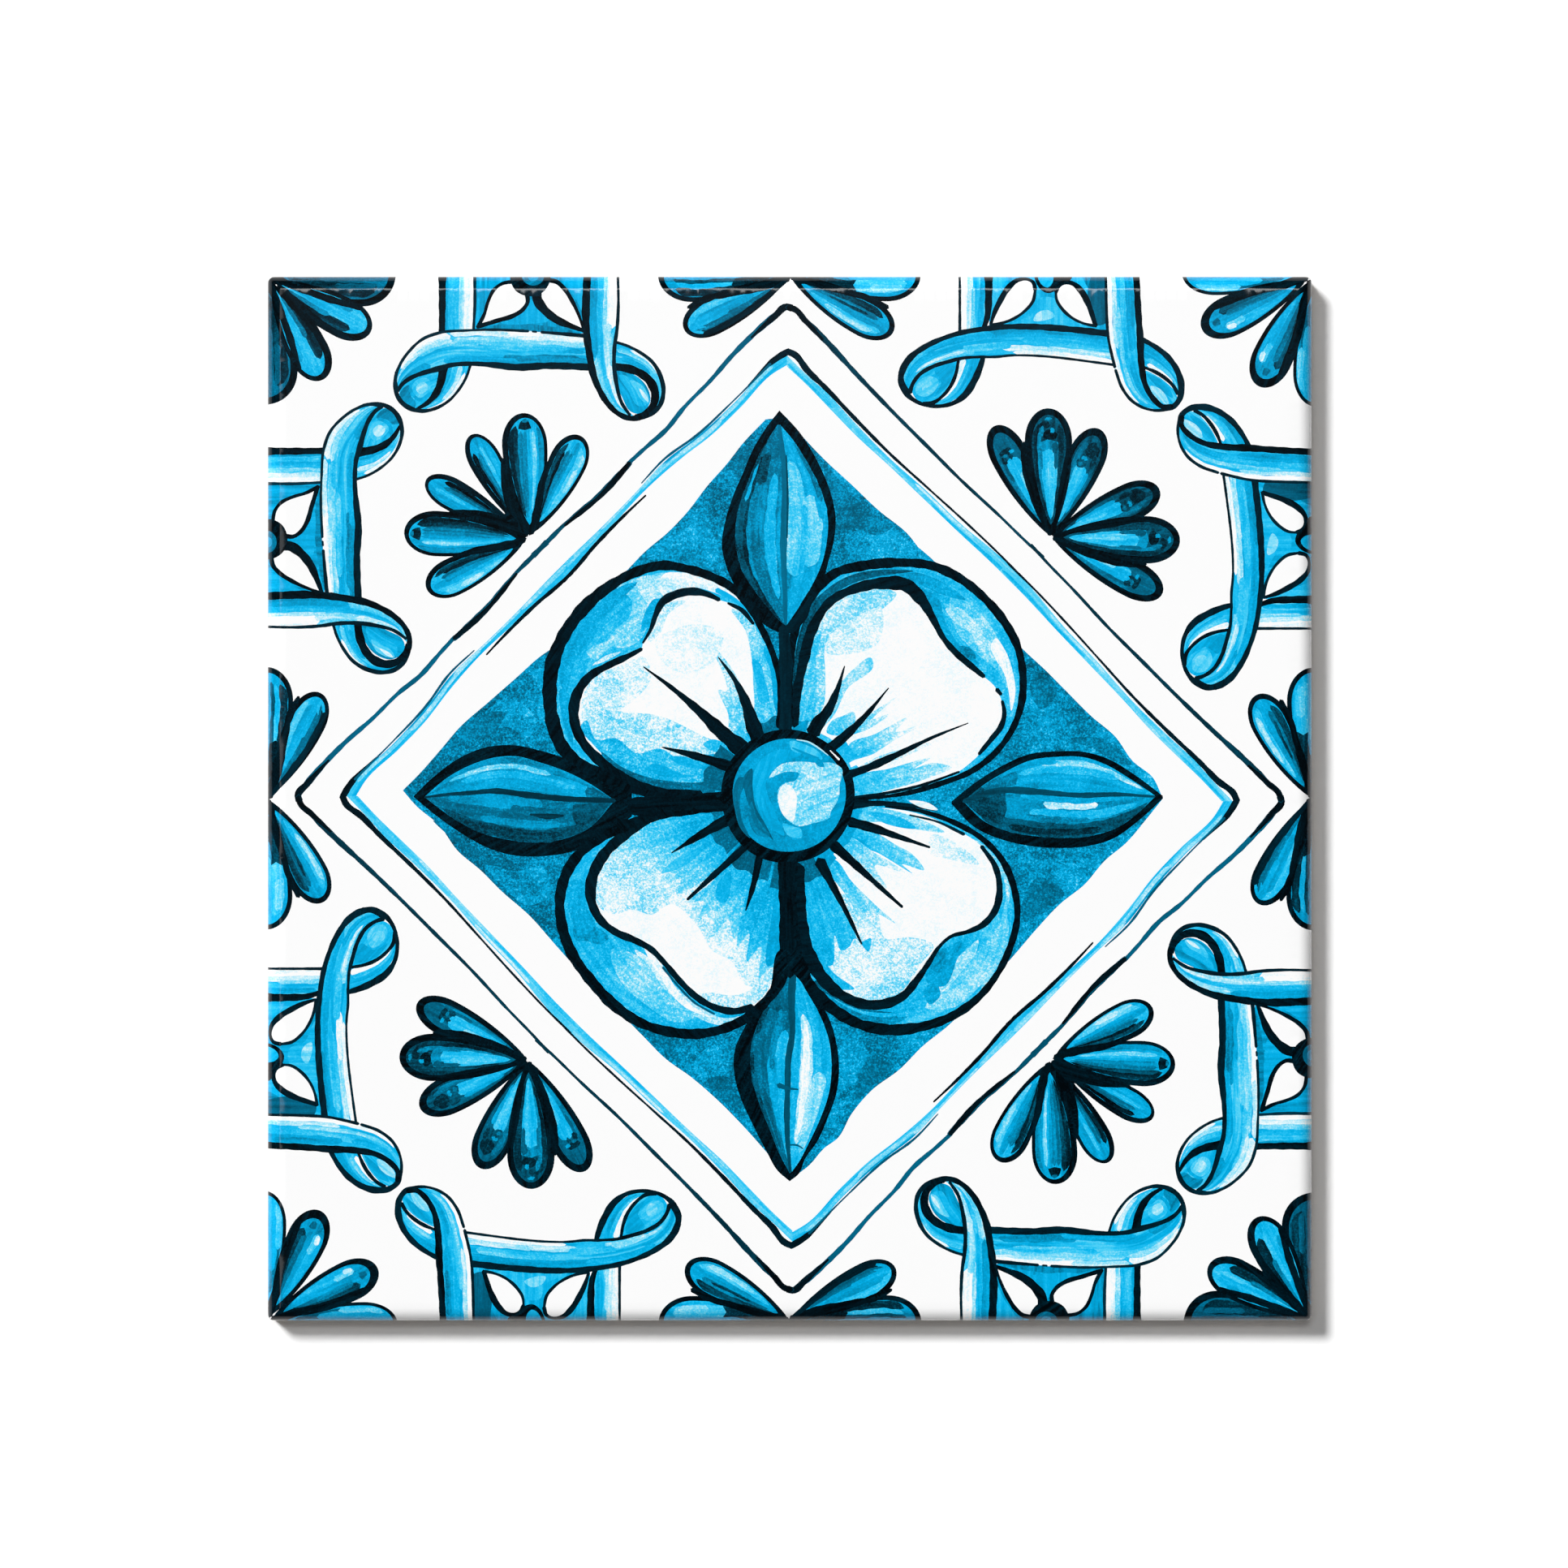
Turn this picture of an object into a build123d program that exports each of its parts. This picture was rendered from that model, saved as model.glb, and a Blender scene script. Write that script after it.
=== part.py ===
"""One square wall tile of pressed and fired earthenware, with a glazed cushion-edged face.

The tile is a single fired piece. Its glazed face is flat, and rolls down at the four edges.
Its back is a moulded waffle: shallow pockets with sloped sides between flat ribs, which the
tile rests on and which key into the bedding adhesive.

Frame, in millimetres: the origin is the centre of the back, on the plane of the ribs. +Z points
out of the glazed face, and +Y towards the edge at the top of the painted pattern.
"""

import os
from math import tan, radians

from build123d import *

# Outline of the tile
TILE_SIDE = 152.4  # nominal 6 inch square
TILE_THICKNESS = 6.5  # from the ribs of the back to the glazed face
CORNER_RADIUS = 0.8  # of the four upright edges, seen from above
CUSHION_RADIUS = 2.0  # the roll of the glazed face into the sides
FOOT_CHAMFER = 0.4  # the arris that the die leaves round the back

# Waffle back
POCKETS_PER_SIDE = 6  # an even count puts a rib crossing at the centre
RIM_LAND = 6.0  # flat land between the pockets and the tile's side
RIB_WIDTH = 3.2  # flat top of a rib between two pockets
POCKET_DEPTH = 0.9
POCKET_CORNER_RADIUS = 2.4  # at the mouth of a pocket
POCKET_DRAFT = 35.0  # degrees from upright, so that the punch leaves the clay


def pressed_blank() -> Part:
    """The tile without its back pattern: a slab with a rolled face and eased arrises."""
    slab = extrude(Rectangle(TILE_SIDE, TILE_SIDE), TILE_THICKNESS)
    slab = fillet(slab.edges().filter_by(Axis.Z), CORNER_RADIUS)
    face_outline = slab.faces().sort_by(Axis.Z)[-1].edges()
    slab = fillet(face_outline, CUSHION_RADIUS)
    back_outline = slab.faces().sort_by(Axis.Z)[0].edges()
    return chamfer(back_outline, FOOT_CHAMFER)


def pocket_pitch() -> float:
    """Distance between the centres of neighbouring pockets."""
    waffle_span = TILE_SIDE - 2 * RIM_LAND + RIB_WIDTH
    return waffle_span / POCKETS_PER_SIDE


def pocket_punch() -> Part:
    """The raised stud of the die that presses one pocket, standing on the plane of the ribs."""
    mouth_side = pocket_pitch() - RIB_WIDTH
    slope_run = POCKET_DEPTH * tan(radians(POCKET_DRAFT))
    floor_side = mouth_side - 2 * slope_run
    floor_radius = POCKET_CORNER_RADIUS - slope_run
    mouth = RectangleRounded(mouth_side, mouth_side, POCKET_CORNER_RADIUS)
    floor = RectangleRounded(floor_side, floor_side, floor_radius)
    return loft([mouth.face(), (Pos(Z=POCKET_DEPTH) * floor).face()])


def waffle_die() -> list[Part]:
    """All studs of the die, in a square grid centred on the tile."""
    pitch = pocket_pitch()
    grid = GridLocations(pitch, pitch, POCKETS_PER_SIDE, POCKETS_PER_SIDE)
    punch = pocket_punch()
    return [place * punch for place in grid]


def ceramic_tile() -> Part:
    """The whole tile, as one solid."""
    return pressed_blank() - waffle_die()


os.makedirs("parts", exist_ok=True)
export_step(ceramic_tile(), "parts/ceramic_tile.step")
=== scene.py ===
# %% [markdown]
# # A painted and glazed wall tile
# The tile is one square of pressed earthenware. The kiln has made it a hard biscuit, and a white
# tin glaze covers its face and runs a little way down its sides. The pattern is painted on that
# glaze with a loaded brush in one blue, thin for the washes and thick for the outlines, and is
# fired into it. The frame is loaded first, because every size below is taken from it.

# %% Load the frame
import math
from collections import namedtuple

import bmesh
import bpy
import numpy as np
from mathutils.geometry import delaunay_2d_cdt
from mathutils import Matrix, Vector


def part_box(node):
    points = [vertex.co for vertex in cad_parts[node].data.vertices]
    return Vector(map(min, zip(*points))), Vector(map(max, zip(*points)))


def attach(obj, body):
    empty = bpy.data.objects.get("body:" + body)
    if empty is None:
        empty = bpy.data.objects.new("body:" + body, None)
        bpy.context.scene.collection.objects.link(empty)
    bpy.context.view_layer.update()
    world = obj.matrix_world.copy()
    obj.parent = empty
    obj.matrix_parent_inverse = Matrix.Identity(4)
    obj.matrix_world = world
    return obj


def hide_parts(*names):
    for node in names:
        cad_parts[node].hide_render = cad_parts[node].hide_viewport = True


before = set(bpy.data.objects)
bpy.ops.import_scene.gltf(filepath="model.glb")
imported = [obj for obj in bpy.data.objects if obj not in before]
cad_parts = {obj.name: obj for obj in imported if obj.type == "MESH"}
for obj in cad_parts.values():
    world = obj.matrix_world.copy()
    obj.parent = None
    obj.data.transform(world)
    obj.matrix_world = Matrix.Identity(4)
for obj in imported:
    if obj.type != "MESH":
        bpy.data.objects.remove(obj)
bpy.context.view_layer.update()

MM = 0.001
low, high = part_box("ceramic_tile")
SIDE = (high[0] - low[0]) / MM
THICKNESS = (high[2] - low[2]) / MM
HALF = SIDE / 2
print(f"tile {SIDE:.1f} mm square, {THICKNESS:.1f} mm thick")

# %% [markdown]
# ## A brush line
# A painter's line is smooth, but never quite even. Each curve here goes through a few given points,
# as a painter pounces a few dots through a pricked paper. A cubic runs from point to point, with a
# slope at each point that weighs the two spans beside it, so that uneven spacing makes no kinks. A
# slow, seeded wobble then gives the width the unevenness of a hand.

# %% Curves through chosen points
STEP = 0.45  # millimetres between the corners of a painted edge
hand = np.random.default_rng(11)


def smooth(knots, closed=False):
    """Points about STEP apart on a smooth curve through the knots."""
    knots = np.array(knots, float)
    if closed:
        knots = np.vstack([knots[-1], knots, knots[:2]])
    spans = knots[1:] - knots[:-1]
    lengths = np.hypot(spans[:, 0], spans[:, 1])[:, None]
    slopes = spans / lengths
    turns = (slopes[:-1] * lengths[1:] + slopes[1:] * lengths[:-1]) / (lengths[1:] + lengths[:-1])
    turns = np.vstack([slopes[0], turns, slopes[-1]])
    points = []
    first, last = (1, len(spans) - 1) if closed else (0, len(spans))
    for k in range(first, last):
        count = max(1, math.ceil(float(lengths[k, 0]) / STEP))
        t = np.linspace(0, 1, count, endpoint=False)[:, None]
        reach = lengths[k, 0]
        points.append(
            (2 * t**3 - 3 * t**2 + 1) * knots[k]
            + (t**3 - 2 * t**2 + t) * reach * turns[k]
            + (3 * t**2 - 2 * t**3) * knots[k + 1]
            + (t**3 - t**2) * reach * turns[k + 1]
        )
    if not closed:
        points.append(knots[-1:])
    return np.vstack(points)


def run_length(line):
    """Distance along a line to each of its points."""
    steps = np.hypot(*(line[1:] - line[:-1]).T)
    return np.concatenate([[0.0], np.cumsum(steps)])


def sideways(line):
    """Unit vectors to the left of a line, one for each point."""
    ahead = np.gradient(line, axis=0)
    ahead /= np.maximum(np.hypot(ahead[:, 0], ahead[:, 1]), 1e-9)[:, None]
    return np.stack([-ahead[:, 1], ahead[:, 0]], axis=1)


def even(line, count):
    """The same line with count points at even distances."""
    reach = run_length(line)
    marks = np.linspace(0, reach[-1], count)
    return np.stack([np.interp(marks, reach, line[:, i]) for i in (0, 1)], axis=1)


def wobble(along, depth):
    """Slow unevenness of a hand-led brush: three waves, each at a random start."""
    waves = [np.sin(along * 2 * math.pi / length + hand.uniform(0, 6.28)) for length in (11, 4.6, 2.1)]
    return sum(waves) * depth / 3


# %% [markdown]
# ## Brush marks
# A wash shows which way the brush went: fine streaks lie along the stroke. So every painted area
# carries its own two coordinates, the distance along the stroke and the distance across it. The
# material later stretches its noise along the first. Three ways of going are enough here: straight
# on, along a curve, and out from a centre.

# %% Which way a brush went


class Straight:
    """Marks that run straight from start to end."""

    def __init__(self, start, end):
        self.start = np.array(start, float)
        run = np.array(end, float) - self.start
        self.length = math.hypot(*run)
        self.ahead = run / self.length

    def read(self, points):
        gap = points - self.start
        return gap @ self.ahead, gap @ np.array([-self.ahead[1], self.ahead[0]])


class Follow:
    """Marks that run along a curve."""

    def __init__(self, line):
        self.line = line
        self.reach = run_length(line)
        self.length = self.reach[-1]
        self.left = sideways(line)

    def read(self, points):
        gaps = points[:, None] - self.line[None]
        near = (gaps**2).sum(2).argmin(1)
        gap = points - self.line[near]
        left = self.left[near]
        ahead = np.stack([left[:, 1], -left[:, 0]], axis=1)
        return self.reach[near] + (gap * ahead).sum(1), (gap * left).sum(1)


class Rays:
    """Marks that run out from a centre, starting at one radius and ending at another."""

    def __init__(self, centre, start, end):
        self.centre = np.array(centre, float)
        self.start = start
        self.length = end - start

    def read(self, points):
        gap = points - self.centre
        radius = np.hypot(gap[:, 0], gap[:, 1])
        return radius - self.start, np.arctan2(gap[:, 1], gap[:, 0]) * (self.start + self.length / 3)


# %% [markdown]
# ## The painting
# The painting is a stack of coats, each a closed outline with a tone, from 0 for bare white glaze
# to 1 for the thickest, nearly black blue. A motif is painted once in its own coordinates. As a
# tile painter repeats one pricked paper on all sides, `stamp` lays the same coats down again
# turned or mirrored.

# %% Coats of paint
INK = 0.97
NAVY = 0.87

Coat = namedtuple("Coat", "edge tone fade flow streak grain number origin turn")


class Painting:
    """Coats of paint, from the first to the last; weight is how heavy its lines are."""

    def __init__(self, weight=1.0):
        self.coats = []
        self.weight = weight

    def fill(self, edge, tone, fade=0.0, flow=None, streak=0.07, grain=0.04):
        """Lays one wash inside a closed outline; fade is how much the tone changes along the flow."""
        edge = np.array(edge, float)
        if flow is None:
            flow = Straight(edge.min(0), edge.max(0))
        number = len(self.coats)
        self.coats.append(Coat(edge, tone, fade, flow, streak, grain, number, np.zeros(2), np.eye(2)))

    def dab(self, knots, *look, **more):
        """A closed coat whose outline runs smoothly through its knots."""
        self.fill(smooth(knots, True), *look, **more)

    def spare(self, *sides):
        """Leaves the glaze bare inside an outline that is given side by side."""
        self.fill(np.vstack([smooth(side) for side in sides]), 0, streak=0, grain=0)

    def ink(self, knots, widths, tone=INK):
        """Draws a line through the knots; the widths are spread evenly along it."""
        line = smooth(knots)
        reach = run_length(line)
        half = np.interp(reach / reach[-1], np.linspace(0, 1, len(widths)), widths) / 2
        half = half * self.weight * (1 + wobble(reach, 0.16))
        left = sideways(line)
        nose = np.stack([left[:, 1], -left[:, 0]], axis=1)
        edge = np.vstack([
            line[:1] - nose[:1] * half[0] * 0.8,
            line + left * half[:, None],
            line[-1:] + nose[-1:] * half[-1] * 0.8,
            (line - left * half[:, None])[::-1],
        ])
        self.fill(edge, tone, flow=Straight(line[0], line[-1]), streak=0.03, grain=0.02)

    def stamp(self, other, origin, turns):
        """Lays all coats of another painting down once for each turn, about the tile's centre."""
        for turn in turns:
            for coat in other.coats:
                self.coats.append(coat._replace(origin=np.array(origin, float), turn=np.array(turn, float)))


def on_tile(coat, points):
    """A coat's own points, in the tile's coordinates."""
    return (points + coat.origin) @ coat.turn


def off_tile(coat, points):
    """The tile's points, in a coat's own coordinates; each turn is its own inverse."""
    return points @ coat.turn - coat.origin


AS_IT_IS = ((1, 0), (0, 1))
OPPOSITE = ((-1, 0), (0, -1))
OVER_FALLING = ((0, -1), (-1, 0))  # mirrored over the diagonal from upper left to lower right
OVER_RISING = ((0, 1), (1, 0))
ALL_TURNS = (AS_IT_IS, OPPOSITE, OVER_FALLING, OVER_RISING)

# %% [markdown]
# ## Strips and lanes
# Most of the pattern is made of strips: a ribbon between its two edges, a petal between its two
# sides. The painter shades them in lanes that run the long way, dark on one side and light on the
# other. A `Strip` knows both edges, so a lane is given by how far across it lies, from -1 at the
# left edge to 1 at the right, and how far along, from 0 to 1.

# %% A strip between two edges


class Strip:
    """The band between a left and a right edge."""

    def __init__(self, left, right, marks):
        """Both edges have one point for each mark; a mark is a share of the length, from 0 to 1."""
        self.left = left
        self.right = right
        self.marks = marks
        self.flow = Follow((left + right) / 2)

    def at(self, across, rows):
        """Points at the given places across and along."""
        share = ((np.asarray(across, float) + 1) / 2)[:, None]
        left = np.stack([np.interp(rows, self.marks, self.left[:, i]) for i in (0, 1)], axis=1)
        right = np.stack([np.interp(rows, self.marks, self.right[:, i]) for i in (0, 1)], axis=1)
        return left * (1 - share) + right * share

    def outline(self):
        return np.vstack([self.left, self.right[::-1]])

    def lane(self, side_a, side_b, start=0.0, end=1.0, soft=0.1):
        """Outline of a lane; each side is one place across, or a list of places along its length."""
        count = max(8, int((end - start) * self.flow.length / STEP))
        rows = np.linspace(start, end, count)
        places = np.linspace(start, end, 5)
        sides = []
        for side in (side_a, side_b):
            side = np.atleast_1d(side)
            across = np.interp(rows, np.linspace(start, end, len(side)), side)
            sides.append(across + wobble(rows * self.flow.length, 0.05))
        share = np.clip(np.minimum(rows - start, end - rows) / (soft * (end - start)), 0, 1)
        opening = np.sqrt(np.maximum(1 - (1 - share) ** 2, 0))
        middle = (sides[0] + sides[1]) / 2
        a = self.at(middle + (sides[0] - middle) * opening, rows)
        b = self.at(middle + (sides[1] - middle) * opening, rows)
        return np.vstack([a, b[::-1]])


def ribbon(left, right, count=48):
    """A strip between two lines, each cut into even steps."""
    return Strip(even(left, count), even(right, count), np.linspace(0, 1, count))


def shade(art, strip, lanes, streak=0.07, grain=0.07):
    """Paints lanes on a strip: each is side a, side b, start, end and tone."""
    for side_a, side_b, start, end, tone in lanes:
        art.fill(strip.lane(side_a, side_b, start, end), tone, flow=strip.flow, streak=streak, grain=grain)


def paint_strip(art, strip, tone, wash_streak, lanes, **look):
    """Lays one wash over a whole strip, then its lanes."""
    art.fill(strip.outline(), tone, flow=strip.flow, streak=wash_streak)
    shade(art, strip, lanes, **look)


# %% [markdown]
# ## Drop petals
# The palmettes are rows of drop petals. A loaded brush is set down at the round end, drawn to the
# root and lifted, so a petal widens steadily from its root and ends in half an ellipse. The same
# rule gives the dark outline and, a little smaller, the wash inside it.

# %% One drop petal


def drop(root, tip, half, belly=0.74):
    """A strip with the outline of a drop petal."""
    root = np.array(root, float)
    axis = np.array(tip, float) - root
    left = np.array([-axis[1], axis[0]]) / math.hypot(*axis)
    t = np.sin(np.linspace(0, math.pi / 2, 44))
    rise = np.sin(np.clip(t / belly, 0, 1) * math.pi / 2) ** 0.8
    fall = np.sqrt(np.maximum(1 - np.clip((t - belly) / (1 - belly), 0, 1) ** 2, 0))
    width = (half * rise * fall)[:, None]
    middle = root + axis * t[:, None]
    return Strip(middle + left * width, middle - left * width, t)


def petal(art, root, tip, half, ring, tone, lanes, outline=INK):
    """A petal with its dark ring, left and right and at the tip, its wash and its lanes."""
    ring_left, ring_right, ring_tip = ring
    root = np.array(root, float)
    tip = np.array(tip, float)
    ahead = (tip - root) / math.hypot(*(tip - root))
    right = np.array([ahead[1], -ahead[0]])
    slide = right * (ring_left - ring_right) / 2
    outer = drop(root, tip, half)
    narrower = half - (ring_left + ring_right) / 2
    inner = drop(root + ahead * 1.6 + slide * 0.3, tip - ahead * ring_tip + slide, narrower)
    art.fill(outer.outline(), outline, flow=outer.flow, streak=0.05, grain=0.03)
    art.fill(inner.outline(), tone, flow=inner.flow, streak=0.08, grain=0.07)
    shade(art, inner, lanes)
    return inner

# %% [markdown]
# ## The ribbon frames
# Eight ribbon frames stand along the edges, each open to the edge and so whole only when the next
# tile is laid beside it. A ribbon runs down, passes over or under the bar, turns back in a loop
# and becomes the bar. Each frame is painted from the bottom up, as the eye reads it: the field
# with its two white petals, then the ribbon that lies below, then the one on top. The first of
# two frames, in millimetres from the middle of its open side:

# %% The light ribbon frame
light_frame = Painting(weight=1.3)


def paint_light_field(art):
    """The field inside the frame, with a flower eye on the tile's edge and two white petals."""
    down = Straight((0, 1), (0, -8))
    art.fill([(-8, 1.5), (8.6, 1.5), (8.6, -8.4), (-8, -8.1)], 0.46, flow=down, streak=0.12)
    art.dab([(-7.6, -7.9), (-3, -6.9), (2, -7.2), (6, -7.9), (8, -8.5), (0, -8.3)], 0.56, flow=down)
    art.dab([(-1, -4.9), (0.4, -3.4), (1.6, -4.8), (3, -6.4), (0, -7), (-4, -6.8)], 0.40, flow=down)
    art.dab([(4.2, 1.2), (8, 1.2), (8.2, -2), (8.2, -5.8), (6.8, -3.2), (5.2, -0.8)], 0.38, flow=down)
    upper = [(-2.2, -0.8), (-3.8, -1.1), (-5, -2), (-5.9, -3.8), (-6.4, -5.5), (-7.4, -7.5)]
    lower = [(-6.4, -7.1), (-4.5, -6.5), (-2.2, -5.8), (-0.8, -4.9), (-0.1, -3.8), (-0.2, -2.6)]
    art.spare(upper, [(-7.4, -7.5)] + lower)
    right = [(3, -0.6), (4, -0.8), (5.1, -1.7), (6.3, -3.5), (7.3, -5.6), (8.1, -7.9)]
    art.spare(right, [(8.1, -7.9), (6.2, -7.2), (4.1, -6.1), (2.5, -4.7), (1.5, -3.2), (1.7, -1.6)])
    art.ink(upper, (0.5, 0.35, 0.4, 0.4, 0.45))
    art.ink([(-7.4, -7.4)] + lower, (0.45, 0.5, 0.5, 0.5))
    art.ink(right, (0.5, 0.5, 0.4, 0.3))
    art.ink([(8.4, -8.1), (6.2, -7.3), (4, -6.3), (2.3, -4.9), (1.3, -3.4), (1.2, -2.2)],
            (0.4, 0.7, 0.9, 1, 1.1))
    eye = [(-2.7, 1.2), (-2.6, -0.8), (-1.8, -2.2), (-0.4, -2.9), (1, -2.9), (2.2, -2.3), (3.1, -0.9),
           (3.2, 1.2)]
    art.fill(smooth(eye), INK)
    art.dab([(-0.9, 1), (-0.9, -0.4), (-0.1, -1.2), (0.9, -1.4), (2, -0.8), (2.3, 0.4), (2.2, 1)], 0.62)
    art.dab([(-0.2, 0.6), (0.2, -0.6), (1, -0.7), (1.5, 0.1), (1.2, 0.8)], 0.50)


def paint_light_ribbon(art):
    """The ribbon: left leg and loop, the bar over them, then the right leg over the bar."""
    leg = ribbon(smooth([(-12.6, 1.5), (-12.7, -8.8)]), smooth([(-7.9, 1.5), (-8.1, -8.6)]))
    paint_strip(art, leg, 0.34, 0.12,
                [(-1, -0.62, 0, 1, 0.46), (-0.6, -0.3, 0, 0.9, 0.30), (-0.3, 0.05, 0.05, 1, 0.36),
                 (0.1, 0.42, 0, 1, 0.20), (0.40, 0.75, -0.1, 1.1, 0.08), (0.7, 1, 0, 1, 0)])
    art.ink([(-12.6, 1.5), (-12.55, -3), (-12.6, -8.3)], (0.85, 0.8, 0.75))
    art.ink([(-7.9, 1.5), (-7.8, -4), (-8, -7.9)], (0.4, 0.35, 0.3), NAVY)

    outer = [(-19.2, -14), (-19.4, -15.6), (-19.2, -17.2), (-18.4, -18.5), (-17, -19.4), (-15.5, -19.7),
             (-13.5, -19.3), (-11.6, -18.2), (-10, -16.4), (-8.9, -14.4), (-8.4, -12.8)]
    tail = ribbon(smooth([(-12.2, -13.2), (-12.4, -15), (-13.2, -16.9), (-14.6, -18.5), (-16.2, -19.5)]),
                  smooth([(-8.4, -12.8), (-8.9, -14.4), (-10, -16.4), (-11.6, -18.2), (-13.8, -19.3),
                          (-16.2, -19.7)]))
    paint_strip(art, tail, 0.30, 0.12,
                [(-1, -0.45, 0, 0.9, 0.44), (-0.35, 0, 0.05, 0.8, 0.30), (0.05, 0.45, 0, 0.6, 0.10),
                 (0.5, 0.95, 0.12, 0.9, 0.02)])
    eye = [(-12.6, -13.7), (-14, -14), (-15.8, -14.6), (-17.6, -15.4), (-18.8, -16.8), (-18.6, -18.2),
           (-17.4, -19.1), (-16, -19.3), (-14.6, -18.4), (-13.4, -16.8), (-12.6, -15.2)]
    look = Follow(smooth([(-18.6, -18), (-16.8, -15.6), (-13, -13.8)]))
    art.dab(eye, 0.34, flow=look, streak=0.10)
    art.dab([(-18.7, -17), (-17.4, -15.9), (-17.2, -17.4), (-16.4, -18.6), (-16.6, -19.2), (-18, -18.7)],
            0.55, flow=look)
    art.dab([(-17.3, -16.2), (-16, -18.3), (-14.4, -18.2), (-15.6, -17.6), (-16.8, -16)], 0.44, flow=look)
    art.dab([(-17, -16.2), (-16.2, -15.1), (-14.8, -14.9), (-14.1, -15.7), (-14.7, -17), (-15.8, -17.8)],
            0.27, flow=look)
    art.dab([(-16.4, -16.3), (-15.4, -15.4), (-14.7, -15.9), (-15, -16.9), (-15.9, -17.2)], 0.16, flow=look)
    art.ink([(-12.4, -13.2), (-12.7, -15.2), (-13.4, -17), (-14.6, -18.4), (-16.2, -19.4)],
            (1, 0.9, 0.8, 0.6, 0.4))
    art.ink(outer, (0.4, 0.5, 0.55, 0.5, 0.35, 0.3, 0.3, 0.35), 0.93)

    top = [(9, -8.8), (5, -8.4), (0, -8.05), (-5, -7.85), (-9, -7.95), (-13, -8.3), (-15.4, -9.2),
           (-17.3, -10.9), (-18.7, -12.9), (-19.4, -15), (-19.2, -16.6)]
    under = [(9, -13.3), (3, -13.1), (-2, -13.3), (-5, -13), (-8.5, -12.8), (-11.3, -13), (-13.4, -13.6),
             (-15.5, -14.2), (-17.2, -14.9), (-18.4, -15.8), (-19.1, -16.8)]
    bar = ribbon(smooth(under), smooth(top), 64)
    paint_strip(art, bar, 0.33, 0.13,
                [(0.2, 0.62, 0, 0.62, 0.20), (0.1, 0.4, 0.5, 0.8, 0.26), (0.62, 1, 0, 0.40, 0),
                 (0.66, 1, 0.36, 0.62, 0.10), (0.45, 0.95, 0.62, 0.90, 0.02),
                 (0.3, 0.6, 0.62, 0.97, 0.16), (0.5, 0.68, 0.02, 0.34, 0.10),
                 (-0.9, -0.45, 0, 0.40, 0.50), (-0.7, -0.35, 0.04, 0.42, 0.56),
                 (-0.9, -0.5, 0.35, 0.72, 0.44), (-0.2, 0.05, 0.02, 0.3, 0.44),
                 (-0.95, -0.3, 0.78, 1, 0.48), (-0.1, 0.25, 0.1, 0.5, 0.28), (0.75, 0.98, 0.88, 1, 0.30)])
    art.ink(under, (0.8, 0.75, 0.85, 0.8, 0.6, 0.5, 0.6, 0.5, 0.45), 0.93)
    art.ink(top[2:], (0.3, 0.3, 0.3, 0.35, 0.35, 0.4), 0.9)
    art.ink([(8.8, -8.8), (5, -8.45), (1.9, -8.2)], (0.5, 0.4, 0.3), 0.93)
    art.ink([(1.2, -8.15), (0.6, -8.1)], (0.25, 0.25), 0.9)

    paint_light_right_loop(art)


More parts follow.
